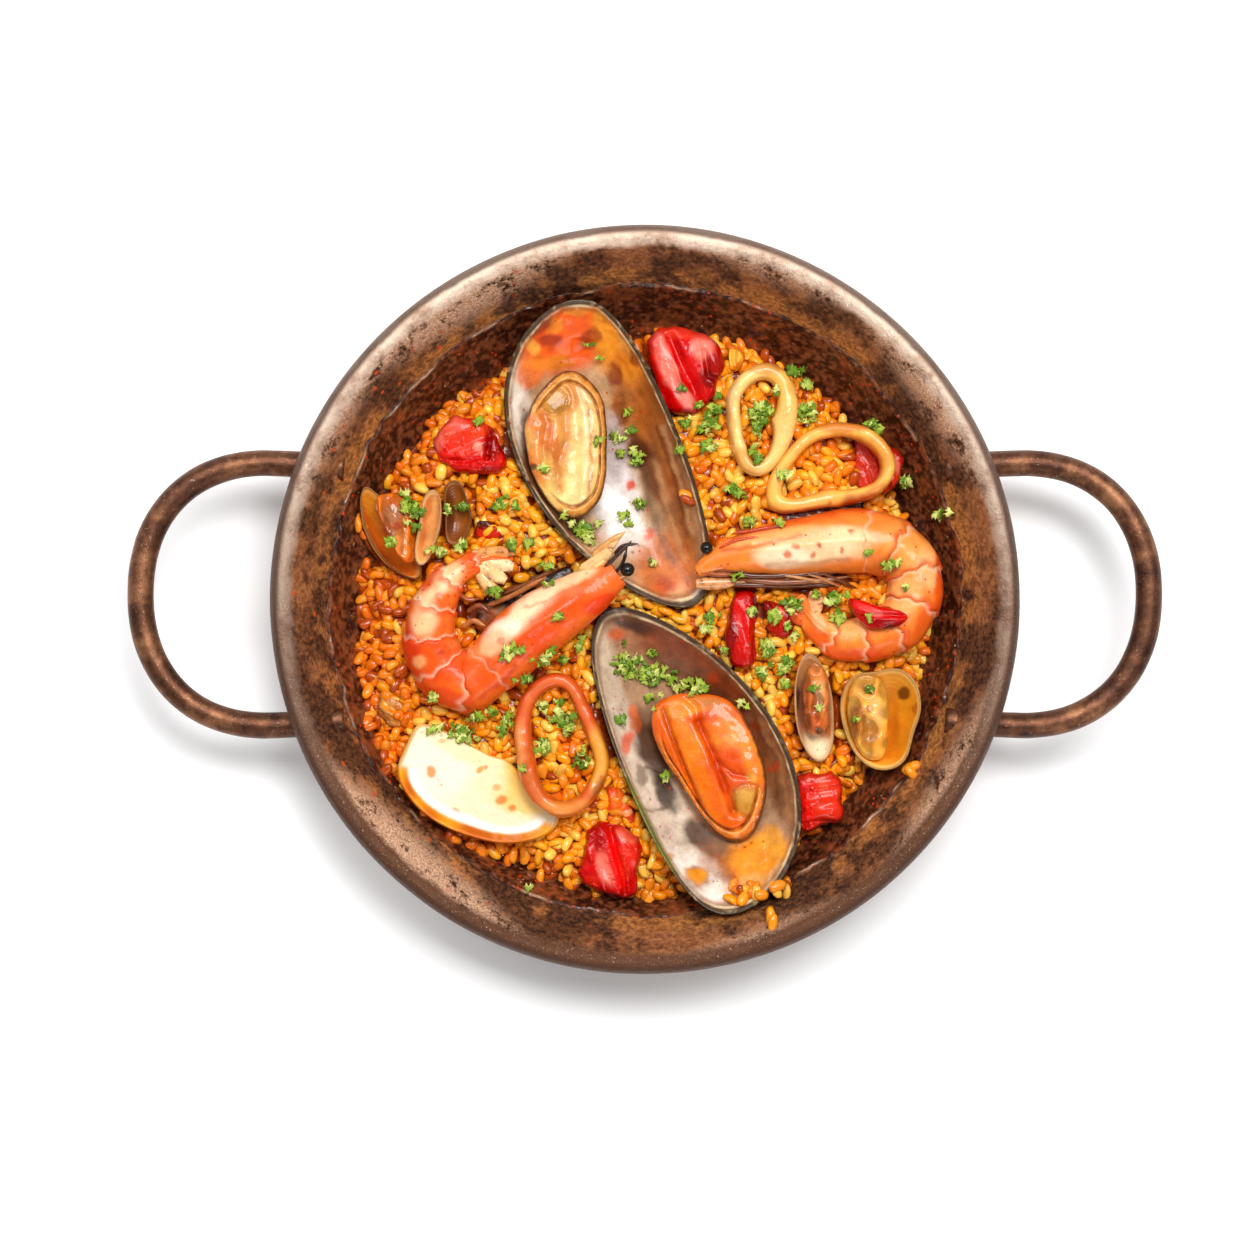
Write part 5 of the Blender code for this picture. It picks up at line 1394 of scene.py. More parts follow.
clamMeats = {
    "clam_meat_left": {
        "base": rgb(248, 140, 44),
        "dabs": [
            (216, 150, 110, 0.4, 0.75, 3, 3, 0, 0.8), (226, 150, 80, 0.6, 0.3, 3, 4, 0, 0.7),
            (206, 80, 30, 0.55, 0.55, 1.6, 1.4, 0, 0.7), (150, 84, 40, 0.2, 0.5, 2, 6, 20, 0.6),
        ],
        "columns": 130, "rows": 44, "roundness": 0.45, "lumps": 2.2, "depth": 1.1, "grow": 1.3,
    },
    "clam_meat_narrow": {
        "base": rgb(226, 142, 74),
        "dabs": [
            (244, 190, 130, 0.6, 0.6, 2.4, 4, 0, 0.8), (214, 100, 40, 0.3, 0.5, 2, 6, 10, 0.6),
            (206, 90, 34, 0.5, 0.15, 3, 3, 0, 0.6), (84, 56, 44, 0.62, 0.02, 1.3, 2, 30, 0.85),
            (150, 74, 30, 0.1, 0.25, 1.6, 4, 0, 0.6),
        ],
        "columns": 130, "rows": 44, "roundness": 0.45, "lumps": 2.0, "depth": 1.1, "grow": 1.12,
    },
    "clam_meat_wide": {
        "base": rgb(252, 190, 88),
        "dabs": [
            (240, 172, 90, 0.4, 0.85, 4, 3, 0, 0.7), (176, 92, 28, 0.2, 0.45, 2.4, 6, 0, 0.7),
            (250, 196, 130, 0.72, 0.6, 2, 5, 10, 0.7), (232, 150, 60, 0.6, 0.25, 3, 5, 0, 0.6),
            (150, 70, 22, 0.5, 0.62, 1.6, 1.3, 0, 0.6),
        ],
        "columns": 170, "rows": 56, "roundness": 0.42, "lumps": 2.6, "depth": 1.5, "grow": 1.18,
    },
}


def makeClamMeat(name, meat):
    # Wet folds: 1 - |noise| makes rounded ridges with sharp valleys between them.
    def relief(grid, out):
        folds = 1 - np.abs(noise(grid * [1, 0.6, 0], meat["lumps"] * 2, 151, 2)) * 2
        return meat["depth"] * (folds - 0.4) + 0.2 * noise(grid, 1.4, 152, 2)

    grid, out = lumpGrid(name, {**meat, "wobble": 0.7}, relief)
    colours = painted(grid, name, meat["base"], meat["dabs"], (), 1.0, 153)
    # The valleys between the folds are painted darker, as painted shade.
    valleyShade = smoothStep(0.25, 0.6, np.abs(noise(grid * [1, 0.6, 0], meat["lumps"] * 2, 151, 2)) * 2)
    colours = colours * (1 - 0.45 * valleyShade[..., None])
    piece = putSurface(name + "_folds", grid, mottled(colours, grid, 2.5, 0.15, 154))
    return finishPiece(piece, clamMeatFinish, "clam_meat", name)


clamFinish = foodFinish("clamShell", {
    "blotch": 4, "grain": 0.7, "contrast": 0.3, "relief": 0.16, "rough": 0.32, "wet": 0.35,
    "specks": [(darkSpeck, 2.4, 0.58, 0.5)],
})
clamMeatFinish = foodFinish("clamMeat", {
    "blotch": 2.6, "grain": 0.6, "contrast": 0.3, "relief": 0.25, "rough": 0.26, "wet": 0.5, "glow": 0.06,
})
for clamName, clamShell in clamShells.items():
    makeClamShell(clamName, clamShell)
for clamName, clamMeat in clamMeats.items():
    makeClamMeat(clamName, clamMeat)
print("clams made")


# Peppers and onion.

pepperLook = {
    "columns": 220, "rows": 80, "roundness": 0.34, "wobble": 1.3, "crisp": 45, "slot": "red_pepper",
    "wrinkle": 0.9, "fold": 105,
}

# On the peppers the pale pink dabs are painted highlights and the darkest red dabs are painted shade.
peppers = {
    "pepper_top": {
        "base": rgb(214, 12, 6),
        "dabs": [
            (250, 150, 130, 0.22, 0.62, 2.8, 10, 22, 0.85), (252, 176, 158, 0.5, 0.2, 2.4, 5, 30, 0.6),
            (250, 156, 136, 0.72, 0.78, 3.6, 4.5, -20, 0.8), (236, 40, 20, 0.1, 0.6, 2, 12, 10, 0.6),
            (170, 26, 12, 0.9, 0.5, 4, 6, 10, 0.85), (120, 14, 6, 0.78, 0.42, 2, 3.4, 20, 0.7),
            (240, 80, 50, 0.45, 0.94, 10, 2.2, -6, 0.75), (150, 14, 6, 0.4, 0.02, 8, 1.6, 0, 0.7),
        ],
        "grooves": [
            ([(0.3, 0.86), (0.45, 0.6), (0.62, 0.3), (0.72, 0.05)], 1.9, 2.6),
            ([(0.74, 0.72), (0.8, 0.45), (0.92, 0.4)], 1.0, 1.6),
        ],
    },
    "pepper_left": {
        "base": rgb(226, 40, 20), "fold": 20,
        "dabs": [
            (238, 110, 84, 0.22, 0.78, 6, 4.5, 20, 0.85), (240, 130, 110, 0.06, 0.55, 2.4, 4, 0, 0.7),
            (236, 70, 36, 0.45, 0.5, 6, 4, -10, 0.8), (238, 96, 40, 0.62, 0.72, 3.4, 3, 0, 0.6),
            (160, 8, 4, 0.86, 0.6, 3.6, 9, -15, 0.95), (214, 10, 6, 0.5, 0.14, 11, 2.4, -6, 0.85),
            (250, 180, 160, 0.62, 0.42, 1.6, 1.8, 20, 0.6), (130, 10, 5, 0.75, 0.04, 7, 1.4, 4, 0.6),
        ],
        "grooves": [
            ([(0.7, 0.95), (0.78, 0.6), (0.74, 0.28)], 0.9, 1.5),
            ([(0.1, 0.25), (0.45, 0.22), (0.75, 0.28)], 0.8, 1.1),
        ],
        "bubbles": 0.55,
    },
    "pepper_middle": {
        "base": rgb(196, 14, 6),
        "dabs": [
            (146, 10, 4, 0.15, 0.45, 2, 12, -8, 0.8), (226, 24, 10, 0.5, 0.6, 2.4, 9, 6, 0.8),
            (216, 36, 14, 0.5, 0.25, 2.4, 5, 0, 0.6), (40, 16, 10, 0.97, 0.5, 1.2, 11, 6, 0.85),
        ],
        "grooves": [([(0.86, 0.9), (0.82, 0.5), (0.84, 0.1)], 0.9, 1.5)],
    },
    "pepper_charred": {
        "base": rgb(190, 30, 12),
        "dabs": [
            (226, 60, 30, 0.5, 0.5, 3, 4, 0, 0.8), (120, 24, 10, 0.85, 0.4, 1.6, 4, 10, 0.7),
            (236, 120, 60, 0.35, 0.62, 1.6, 1.4, 0, 0.7), (130, 20, 8, 0.1, 0.8, 2, 3, 0, 0.7),
        ],
        "grooves": [([(0.3, 0.9), (0.45, 0.5), (0.4, 0.1)], 0.8, 1.0)],
        "bubbles": 0.5,
    },
    "pepper_right": {
        "base": rgb(224, 44, 20), "fold": 10,
        "dabs": [
            (236, 28, 8, 0.2, 0.5, 3.6, 7, 0, 0.8), (232, 70, 34, 0.65, 0.55, 5, 8, 0, 0.7),
            (216, 66, 40, 0.5, 0.9, 7, 2, 6, 0.6), (120, 12, 6, 0.03, 0.7, 1.6, 8, 0, 0.7),
            (196, 40, 22, 0.4, 0.1, 8, 2, 10, 0.7), (240, 120, 80, 0.6, 0.75, 1.6, 3, 20, 0.4),
        ],
        "grooves": [([(0.1, 0.12), (0.5, 0.2), (0.95, 0.14)], 1.0, 1.4)],
        "bubbles": 0.4,
    },
    "pepper_bottom": {
        "base": rgb(214, 18, 10),
        "dabs": [
            (250, 140, 120, 0.42, 0.42, 2.6, 6, 16, 0.75), (236, 60, 34, 0.78, 0.6, 3.4, 8, -10, 0.8),
            (244, 120, 90, 0.8, 0.85, 4, 2.4, -30, 0.7), (170, 8, 4, 0.3, 0.85, 3.4, 4, 0, 0.6),
            (246, 20, 8, 0.58, 0.5, 1.8, 9, 12, 0.8), (180, 10, 6, 0.5, 0.04, 9, 1.8, -6, 0.6),
            (236, 60, 30, 0.2, 0.2, 3, 3, 0, 0.6),
        ],
        "grooves": [([(0.5, 0.94), (0.6, 0.6), (0.72, 0.3), (0.74, 0.06)], 1.0, 1.9)],
        "bubbles": 0.5,
    },
    "pepper_orange": {
        "base": rgb(228, 92, 20), "slot": "orange_pepper",
        "dabs": [
            (240, 130, 50, 0.5, 0.6, 3, 4, 0, 0.8), (206, 56, 14, 0.85, 0.5, 2, 5, 0, 0.7),
            (246, 190, 130, 0.75, 0.35, 1.8, 1, 20, 0.6),
        ],
        "grooves": [([(0.2, 0.3), (0.6, 0.5), (0.8, 0.9)], 0.9, 1.0)],
    },
    "pepper_ring_side": {
        "base": rgb(214, 60, 26), "slot": "orange_pepper",
        "dabs": [
            (196, 30, 12, 0.9, 0.6, 3, 7, 20, 0.8), (244, 150, 120, 0.85, 0.5, 1, 4, 20, 0.6),
            (206, 70, 40, 0.1, 0.3, 3, 5, 0, 0.7),
        ],
        "grooves": [([(0.55, 0.9), (0.75, 0.5), (0.7, 0.1)], 0.9, 1.1)],
    },
    "pepper_small": {
        "base": rgb(190, 36, 12),
        "dabs": [
            (96, 44, 22, 0.5, 0.86, 5, 2.2, 4, 0.9), (222, 60, 20, 0.5, 0.3, 4, 1.6, 0, 0.7),
            (60, 30, 18, 0.3, 0.9, 2, 1, 0, 0.8),
        ],
        "grooves": [],
        "bubbles": 0.7,
    },
    "pepper_curl": {
        "base": rgb(216, 8, 6), "fold": -15,
        "dabs": [
            (250, 150, 140, 0.35, 0.62, 4, 1, -16, 0.7), (150, 4, 4, 0.6, 0.25, 6, 1.6, -10, 0.8),
            (60, 40, 20, 0.72, 0.12, 2.6, 0.9, 0, 0.85), (240, 30, 20, 0.2, 0.75, 4, 1.4, -10, 0.7),
        ],
        "grooves": [([(0.1, 0.4), (0.45, 0.5), (0.9, 0.45)], 0.8, 1.4)],
    },
    "pepper_chunk_yellow": {
        "base": rgb(238, 160, 40), "slot": "yellow_pepper",
        "dabs": [(246, 190, 80, 0.4, 0.6, 2, 3, 0, 0.8), (226, 130, 30, 0.8, 0.2, 2, 2, 0, 0.6)],
        "grooves": [([(0.5, 0.95), (0.4, 0.5), (0.6, 0.1)], 0.7, 0.9)],
    },
    "onion_strip": {
        "base": rgb(200, 134, 60), "slot": "onion",
        "dabs": [(226, 170, 90, 0.3, 0.6, 3, 2, -30, 0.8), (150, 90, 44, 0.1, 0.3, 3, 3, 0, 0.8)],
        "grooves": [
            ([(0.0, 0.8), (0.5, 0.5), (1.0, 0.2)], 0.8, 1.2), ([(0.1, 0.5), (0.6, 0.2)], 0.7, 1.0),
        ],
    },
}


def makePepper(name, pepper):
    # A slab with creases, its skin folded into long ridges 1 - |noise| and blistered where it was seared.
    look = {**pepperLook, **pepper}

    def relief(grid, out):
        turned = math.radians(look["fold"])
        along = grid[..., 0] * math.cos(turned) + grid[..., 1] * math.sin(turned)
        across = grid[..., 1] * math.cos(turned) - grid[..., 0] * math.sin(turned)
        ridges = 1 - 2.4 * np.abs(noise(np.stack([0.3 * along, across, 0 * along], -1), 4.5, 161, 2))
        blisters = smoothStep(0.1, 0.5, noise(grid, 1.7, 162, 2)) * look.get("bubbles", 0.15)
        height = look["wrinkle"] * ridges + blisters + 0.5 * noise(grid, 9, 163)
        for line, width, depth in look["grooves"]:
            height = height - depth * np.exp(-((lineDistance(grid, placeOn(name, line)) / width) ** 2))
        return height

    grid, out = lumpGrid(name, look, relief)
    colours = painted(grid, name, look["base"], look["dabs"], (), 1.3, 164)
    # Each piece is painted darker towards its edge, as painted shade where it curves down.
    colours = mixed(colours, look["base"] * 0.55, smoothStep(0.8, 1.0, out) * 0.5)
    piece = putSurface(name + "_skin", grid, mottled(colours, grid, 3, 0.15, 165))
    return finishPiece(piece, pepperFinish, look["slot"], name)


pepperFinish = foodFinish("pepperSkin", {
    "blotch": 4, "grain": 0.8, "contrast": 0.2, "relief": 0.2, "rough": 0.28, "wet": 0.22, "glow": 0.02,
    "wrinkle": 2.2,
})
for pepperName, pepper in peppers.items():
    makePepper(pepperName, pepper)
print("peppers made")


# The rice bed: height maps of what lies on it, a core with relief, and the grains.

mapLook = {"reach": 125.0, "cell": 1.0}


def heightMap(pieces, highest):
    # The highest or lowest corner of some pieces in each square cell of a map over the pan.
    cells = int(2 * mapLook["reach"] / mapLook["cell"])
    field = np.full((cells, cells), -1e3 if highest else 1e3)
    for piece in pieces:
        points = np.empty(len(piece.data.vertices) * 3, np.float32)
        piece.data.vertices.foreach_get("co", points)
        points = points.reshape(-1, 3) / metre
        index = ((points[:, :2] + mapLook["reach"]) / mapLook["cell"]).astype(int)
        index = np.clip(index, 0, cells - 1)
        (np.maximum if highest else np.minimum).at(field, (index[:, 0], index[:, 1]), points[:, 2])
    return field


def widened(field, steps, highest):
    # Each cell takes the highest or lowest of its neighbours, as often as steps says.
    pick = np.maximum if highest else np.minimum
    for _ in range(steps):
        for axis in range(2):
            field = pick(field, pick(np.roll(field, 1, axis), np.roll(field, -1, axis)))
    return field


def readMap(field, points):
    index = ((points[..., :2] + mapLook["reach"]) / mapLook["cell"]).astype(int)
    index = np.clip(index, 0, field.shape[0] - 1)
    return field[index[..., 0], index[..., 1]]


def panInside(radius):
    # Height of the pan's inner face at a radius.
    profile = panProfile()
    crest = int(np.argmax(profile[:, 1]))
    return np.interp(radius, profile[:crest, 0], profile[:crest, 1])


# Sizes in mm. Stray grains: a node, a place as shares of its box, their spread in mm and how many.
riceLook = {
    "skirt": 12.0, "clear": 3.0, "core": 1.0, "coreRows": 110, "coreColumns": 460, "spacing": 3.35,
    "upperSpacing": 4.6, "length": (4.9, 6.4), "width": 3.55,
    "golden": [rgb(255, 166, 24), rgb(255, 180, 44), rgb(255, 204, 96), rgb(240, 150, 30)],
    "browned": [rgb(236, 130, 20), rgb(246, 148, 28), rgb(190, 92, 20), rgb(255, 166, 50)],
    "stray": [
        ("mussel_shell_lower", (0.75, 0.07), (7, 2.2), 12),
        ("mussel_shell_lower", (0.9, 0.09), (3, 2.4), 7),
        ("mussel_shell_lower", (0.84, 0), (2.4, 2.4), 3), ("clam_shell_wide", (0.9, 0.02), (2.4, 2.4), 4),
        ("mussel_shell_upper", (0.88, 0.36), (1, 2.4), 2), ("clam_shell_standing", (0.0, 0.6), (2, 3), 4),
    ],
}

made = [obj for obj in bpy.context.scene.collection.objects if obj.type == "MESH"]
bowls = [obj for obj in made if obj.name.startswith(("mussel_shell", "clam_shell"))]
food = [obj for obj in made if "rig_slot" in obj and obj["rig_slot"] not in ("browned_steel", "rod_steel")]
underBowls = widened(heightMap(bowls, False), 2, False)
foodTops = widened(heightMap(food, True), 1, True)
riceMiddle, riceOutline = silhouette("rice", 360)
riceTop = nodeBox("rice")[1][2] - 3.2


def riceEdge(turn):
    reach = np.linalg.norm(riceOutline - riceMiddle, axis=1)
    return np.interp(turn % turnFull, np.linspace(0, turnFull, 361), np.append(reach, reach[0]))


def riceHeight(points):
    # The mound: level in the middle, falling to the pan over a skirt as 1 - (1 - t)^2, and pressed
    # down where a shell lies in it.
    spokes = points[..., :2] - riceMiddle
    reach = np.linalg.norm(spokes, axis=-1)
    edge = riceEdge(np.arctan2(spokes[..., 1], spokes[..., 0]))
    inward = np.clip((edge - reach) / riceLook["skirt"], 0, 1)
    foot = panInside(np.linalg.norm(points[..., :2], axis=-1)) + 0.4
    level = riceTop + 0.9 * noise(points * [1, 1, 0], 16, 171, 2)
    mound = foot + np.maximum(level - foot, 0) * (1 - (1 - inward) ** 2)
    return np.minimum(mound, readMap(underBowls, points) - riceLook["clear"])


def makeRiceCore():
    turn = np.linspace(0, turnFull, riceLook["coreColumns"], endpoint=False)
    way = np.stack([np.cos(turn), np.sin(turn)], -1)
    edge = riceEdge(turn)[:, None] + 0.5
    below = np.linspace(0.03, 0.995, riceLook["coreRows"] // 4)
    above = np.linspace(1, 0.01, riceLook["coreRows"])
    out = np.concatenate([below, above])[:, None]
    spots = riceMiddle + out[..., None] * edge * way
    flat = np.concatenate([spots, 0 * spots[..., :1]], -1)
    floor = panInside(np.linalg.norm(spots, axis=-1)) + 0.25
    relief = 0.9 * np.abs(noise(flat, 3.2, 172, 2)) * smoothStep(0, 0.04, 1 - out)
    top = np.maximum(riceHeight(flat) - riceLook["core"] + relief, floor + 0.15)
    under = np.arange(len(out))[:, None] < len(below)
    grid = np.concatenate([spots, np.where(under, floor, top)[..., None]], -1)
    # The core's dark orange-brown shows between the grains both as sauce and as painted shade.
    colours = mixed(rgb(150, 62, 8), rgb(214, 104, 14), smoothStep(-0.3, 0.5, noise(grid, 4, 173, 3)))
    piece = putSurface("rice_bed", grid, colours)
    return finishPiece(piece, riceFinish, "rice", "rice")


def grainShape(rows=7, columns=8):
    # One grain along X, of length and width 1: the section's size goes as (1 - |x|^2.6)^0.5, and the
    # middle bows upwards a little.
    x = np.sin(np.linspace(-1, 1, rows) * 1.38) / math.sin(1.38) * 0.97
    size = (1 - np.abs(x) ** 2.6) ** 0.5
    turn = np.linspace(0, turnFull, columns, endpoint=False)
    y = size[:, None] * np.cos(turn)
    z = 0.86 * size[:, None] * np.sin(turn) - 0.25 * (x**2)[:, None]
    return np.stack([np.broadcast_to(x[:, None], y.shape), y, z], -1) / 2


def turnedCopies(shape, places, sizes, yaw, pitch, roll):
    # Copies of a shape: each scaled in X, Y and Z, rolled about X, pitched about Y, turned about Z.
    copies = shape[None] * sizes[:, None, None]
    for axes, angle in (((1, 2), roll), ((2, 0), pitch), ((0, 1), yaw)):
        first, second = copies[..., axes[0]].copy(), copies[..., axes[1]].copy()
        cosine, sine = np.cos(angle)[:, None, None], np.sin(angle)[:, None, None]
        copies[..., axes[0]] = first * cosine - second * sine
        copies[..., axes[1]] = first * sine + second * cosine
    return copies + places[:, None, None]


def scatterSpots(rng, spacing, reach=100.0):
    # A six-sided lattice, each point moved at random by up to a third of the spacing.
    side = int(2 * reach / spacing) + 2
    x, y = np.meshgrid(np.arange(side), np.arange(int(side * 1.16)))
    x = (x + 0.5 * (y % 2)) * spacing - reach
    y = y * spacing * 0.866 - reach
    spots = np.stack([x.ravel(), y.ravel()], -1)
    return spots + rng.uniform(-0.34, 0.34, spots.shape) * spacing


def straySpots(rng):
    spots = []
    for node, place, spread, count in riceLook["stray"]:
        spots.append(placeOn(node, place) + rng.normal(0, 0.5, (count, 2)) * spread)
    return np.vstack(spots)


def strayHeight(spots):
    # A stray grain lies on whatever is under it: a shell, the rice or the pan.
    flat = np.column_stack([spots, np.zeros(len(spots))])
    ground = np.maximum(riceHeight(flat), panInside(np.linalg.norm(spots, axis=1)))
    return np.maximum(ground, readMap(shellTops, flat)) + 1.3


def makeRiceGrains():
    rng = np.random.default_rng(11)
    lower = scatterSpots(rng, riceLook["spacing"])
    upper = scatterSpots(rng, riceLook["upperSpacing"])
    spots = np.vstack([lower, upper])
    onTop = np.arange(len(spots)) >= len(lower)
    spokes = spots - riceMiddle
    reach = np.linalg.norm(spokes, axis=1)
    edge = riceEdge(np.arctan2(spokes[:, 1], spokes[:, 0]))
    flat = np.column_stack([spots, 0 * reach])
    ragged = edge + 2.5 * noise(flat, 7, 174, 2)
    raised, sunk = rng.uniform(0.7, 1.9, len(spots)), rng.uniform(-0.7, 0.5, len(spots))
    height = riceHeight(flat) + np.where(onTop, raised, sunk)
    height = np.minimum(height, readMap(underBowls, flat) - riceLook["clear"] + 0.4)
    floor = panInside(np.linalg.norm(spots, axis=1)) + 1.1
    height = np.maximum(height, floor)
    hidden = readMap(widenedCover, flat) > height + 2.0
    keep = (reach < ragged + 0.5) & ~hidden & (floor < readMap(underBowls, flat) - 2.0)
    keep &= ~(onTop & (noise(flat, 12, 175, 2) < -0.42))
    spots, height, reach, edge = spots[keep], height[keep], reach[keep], edge[keep]
    stray = straySpots(rng)
    height = np.append(height, strayHeight(stray))
    spots = np.vstack([spots, stray])
    reach, edge = (np.append(values, np.zeros(len(stray))) for values in (reach, edge))
    flat = np.column_stack([spots, 0 * height])
    count = len(spots)
    sizes = np.column_stack([
        rng.uniform(*riceLook["length"], count), riceLook["width"] * rng.uniform(0.86, 1.14, count),
        riceLook["width"] * rng.uniform(0.82, 1.06, count),
    ])
    yaw = rng.uniform(0, turnFull, count)
    pitch = rng.normal(0, 0.3, count)
    roll = rng.uniform(0, turnFull, count)
    copies = turnedCopies(grainShape(), np.column_stack([spots, height]), sizes, yaw, pitch, roll)
    copies += 0.22 * noise(copies, 2.2, 176)[..., None]
    left = smoothStep(-35, -80, spots[:, 0]) * 0.5
    brown = 0.25 + left + 0.35 * smoothStep(14, 2, edge - reach) + 0.5 * noise(flat, 22, 177, 2)
    browned = rng.uniform(0, 1, count) < brown
    for kind, chosen in (("golden", ~browned), ("browned", browned)):
        grains, tones = copies[chosen], riceLook[kind]
        corners = withPoles(grains)
        tone = np.array(tones)[rng.integers(0, len(tones), len(grains))][:, None] * np.ones(corners.shape)
        tone = tone * (1 + 0.22 * noise(corners, 3, 178))[..., None]
        tip = smoothStep(0.6, 1.0, np.abs(np.append(np.repeat(np.linspace(-1, 1, 7), 8), [-1, 1])))
        tone = mixed(tone, tone * 0.72, tip[None] * np.ones(corners.shape[:2]))
        finishPiece(joined("rice_grains_" + kind, grains, tone), riceFinish, "rice")
        print("rice grains,", kind + ":", len(grains))


riceFinish = foodFinish("riceGrain", {
    "blotch": 3, "grain": 0.6, "contrast": 0.3, "relief": 0.12, "rough": 0.3, "wet": 0.45, "glow": 0.15,
    "specks": [(redSpeck, 4.4, 0.62, 0.6)],
})
widenedCover = -widened(-foodTops, 3, True)
shellTops = heightMap([bowl for bowl in bowls if "mussel" in bowl.name], True)
makeRiceCore()
makeRiceGrains()
print("rice made")


# Parsley, and the crust left on the pan's wall.

parsleyLook = {
    "size": (1.9, 4.4),
    "tones": [rgb(152, 178, 62), rgb(180, 196, 88), rgb(212, 216, 132), rgb(116, 148, 44)],
}

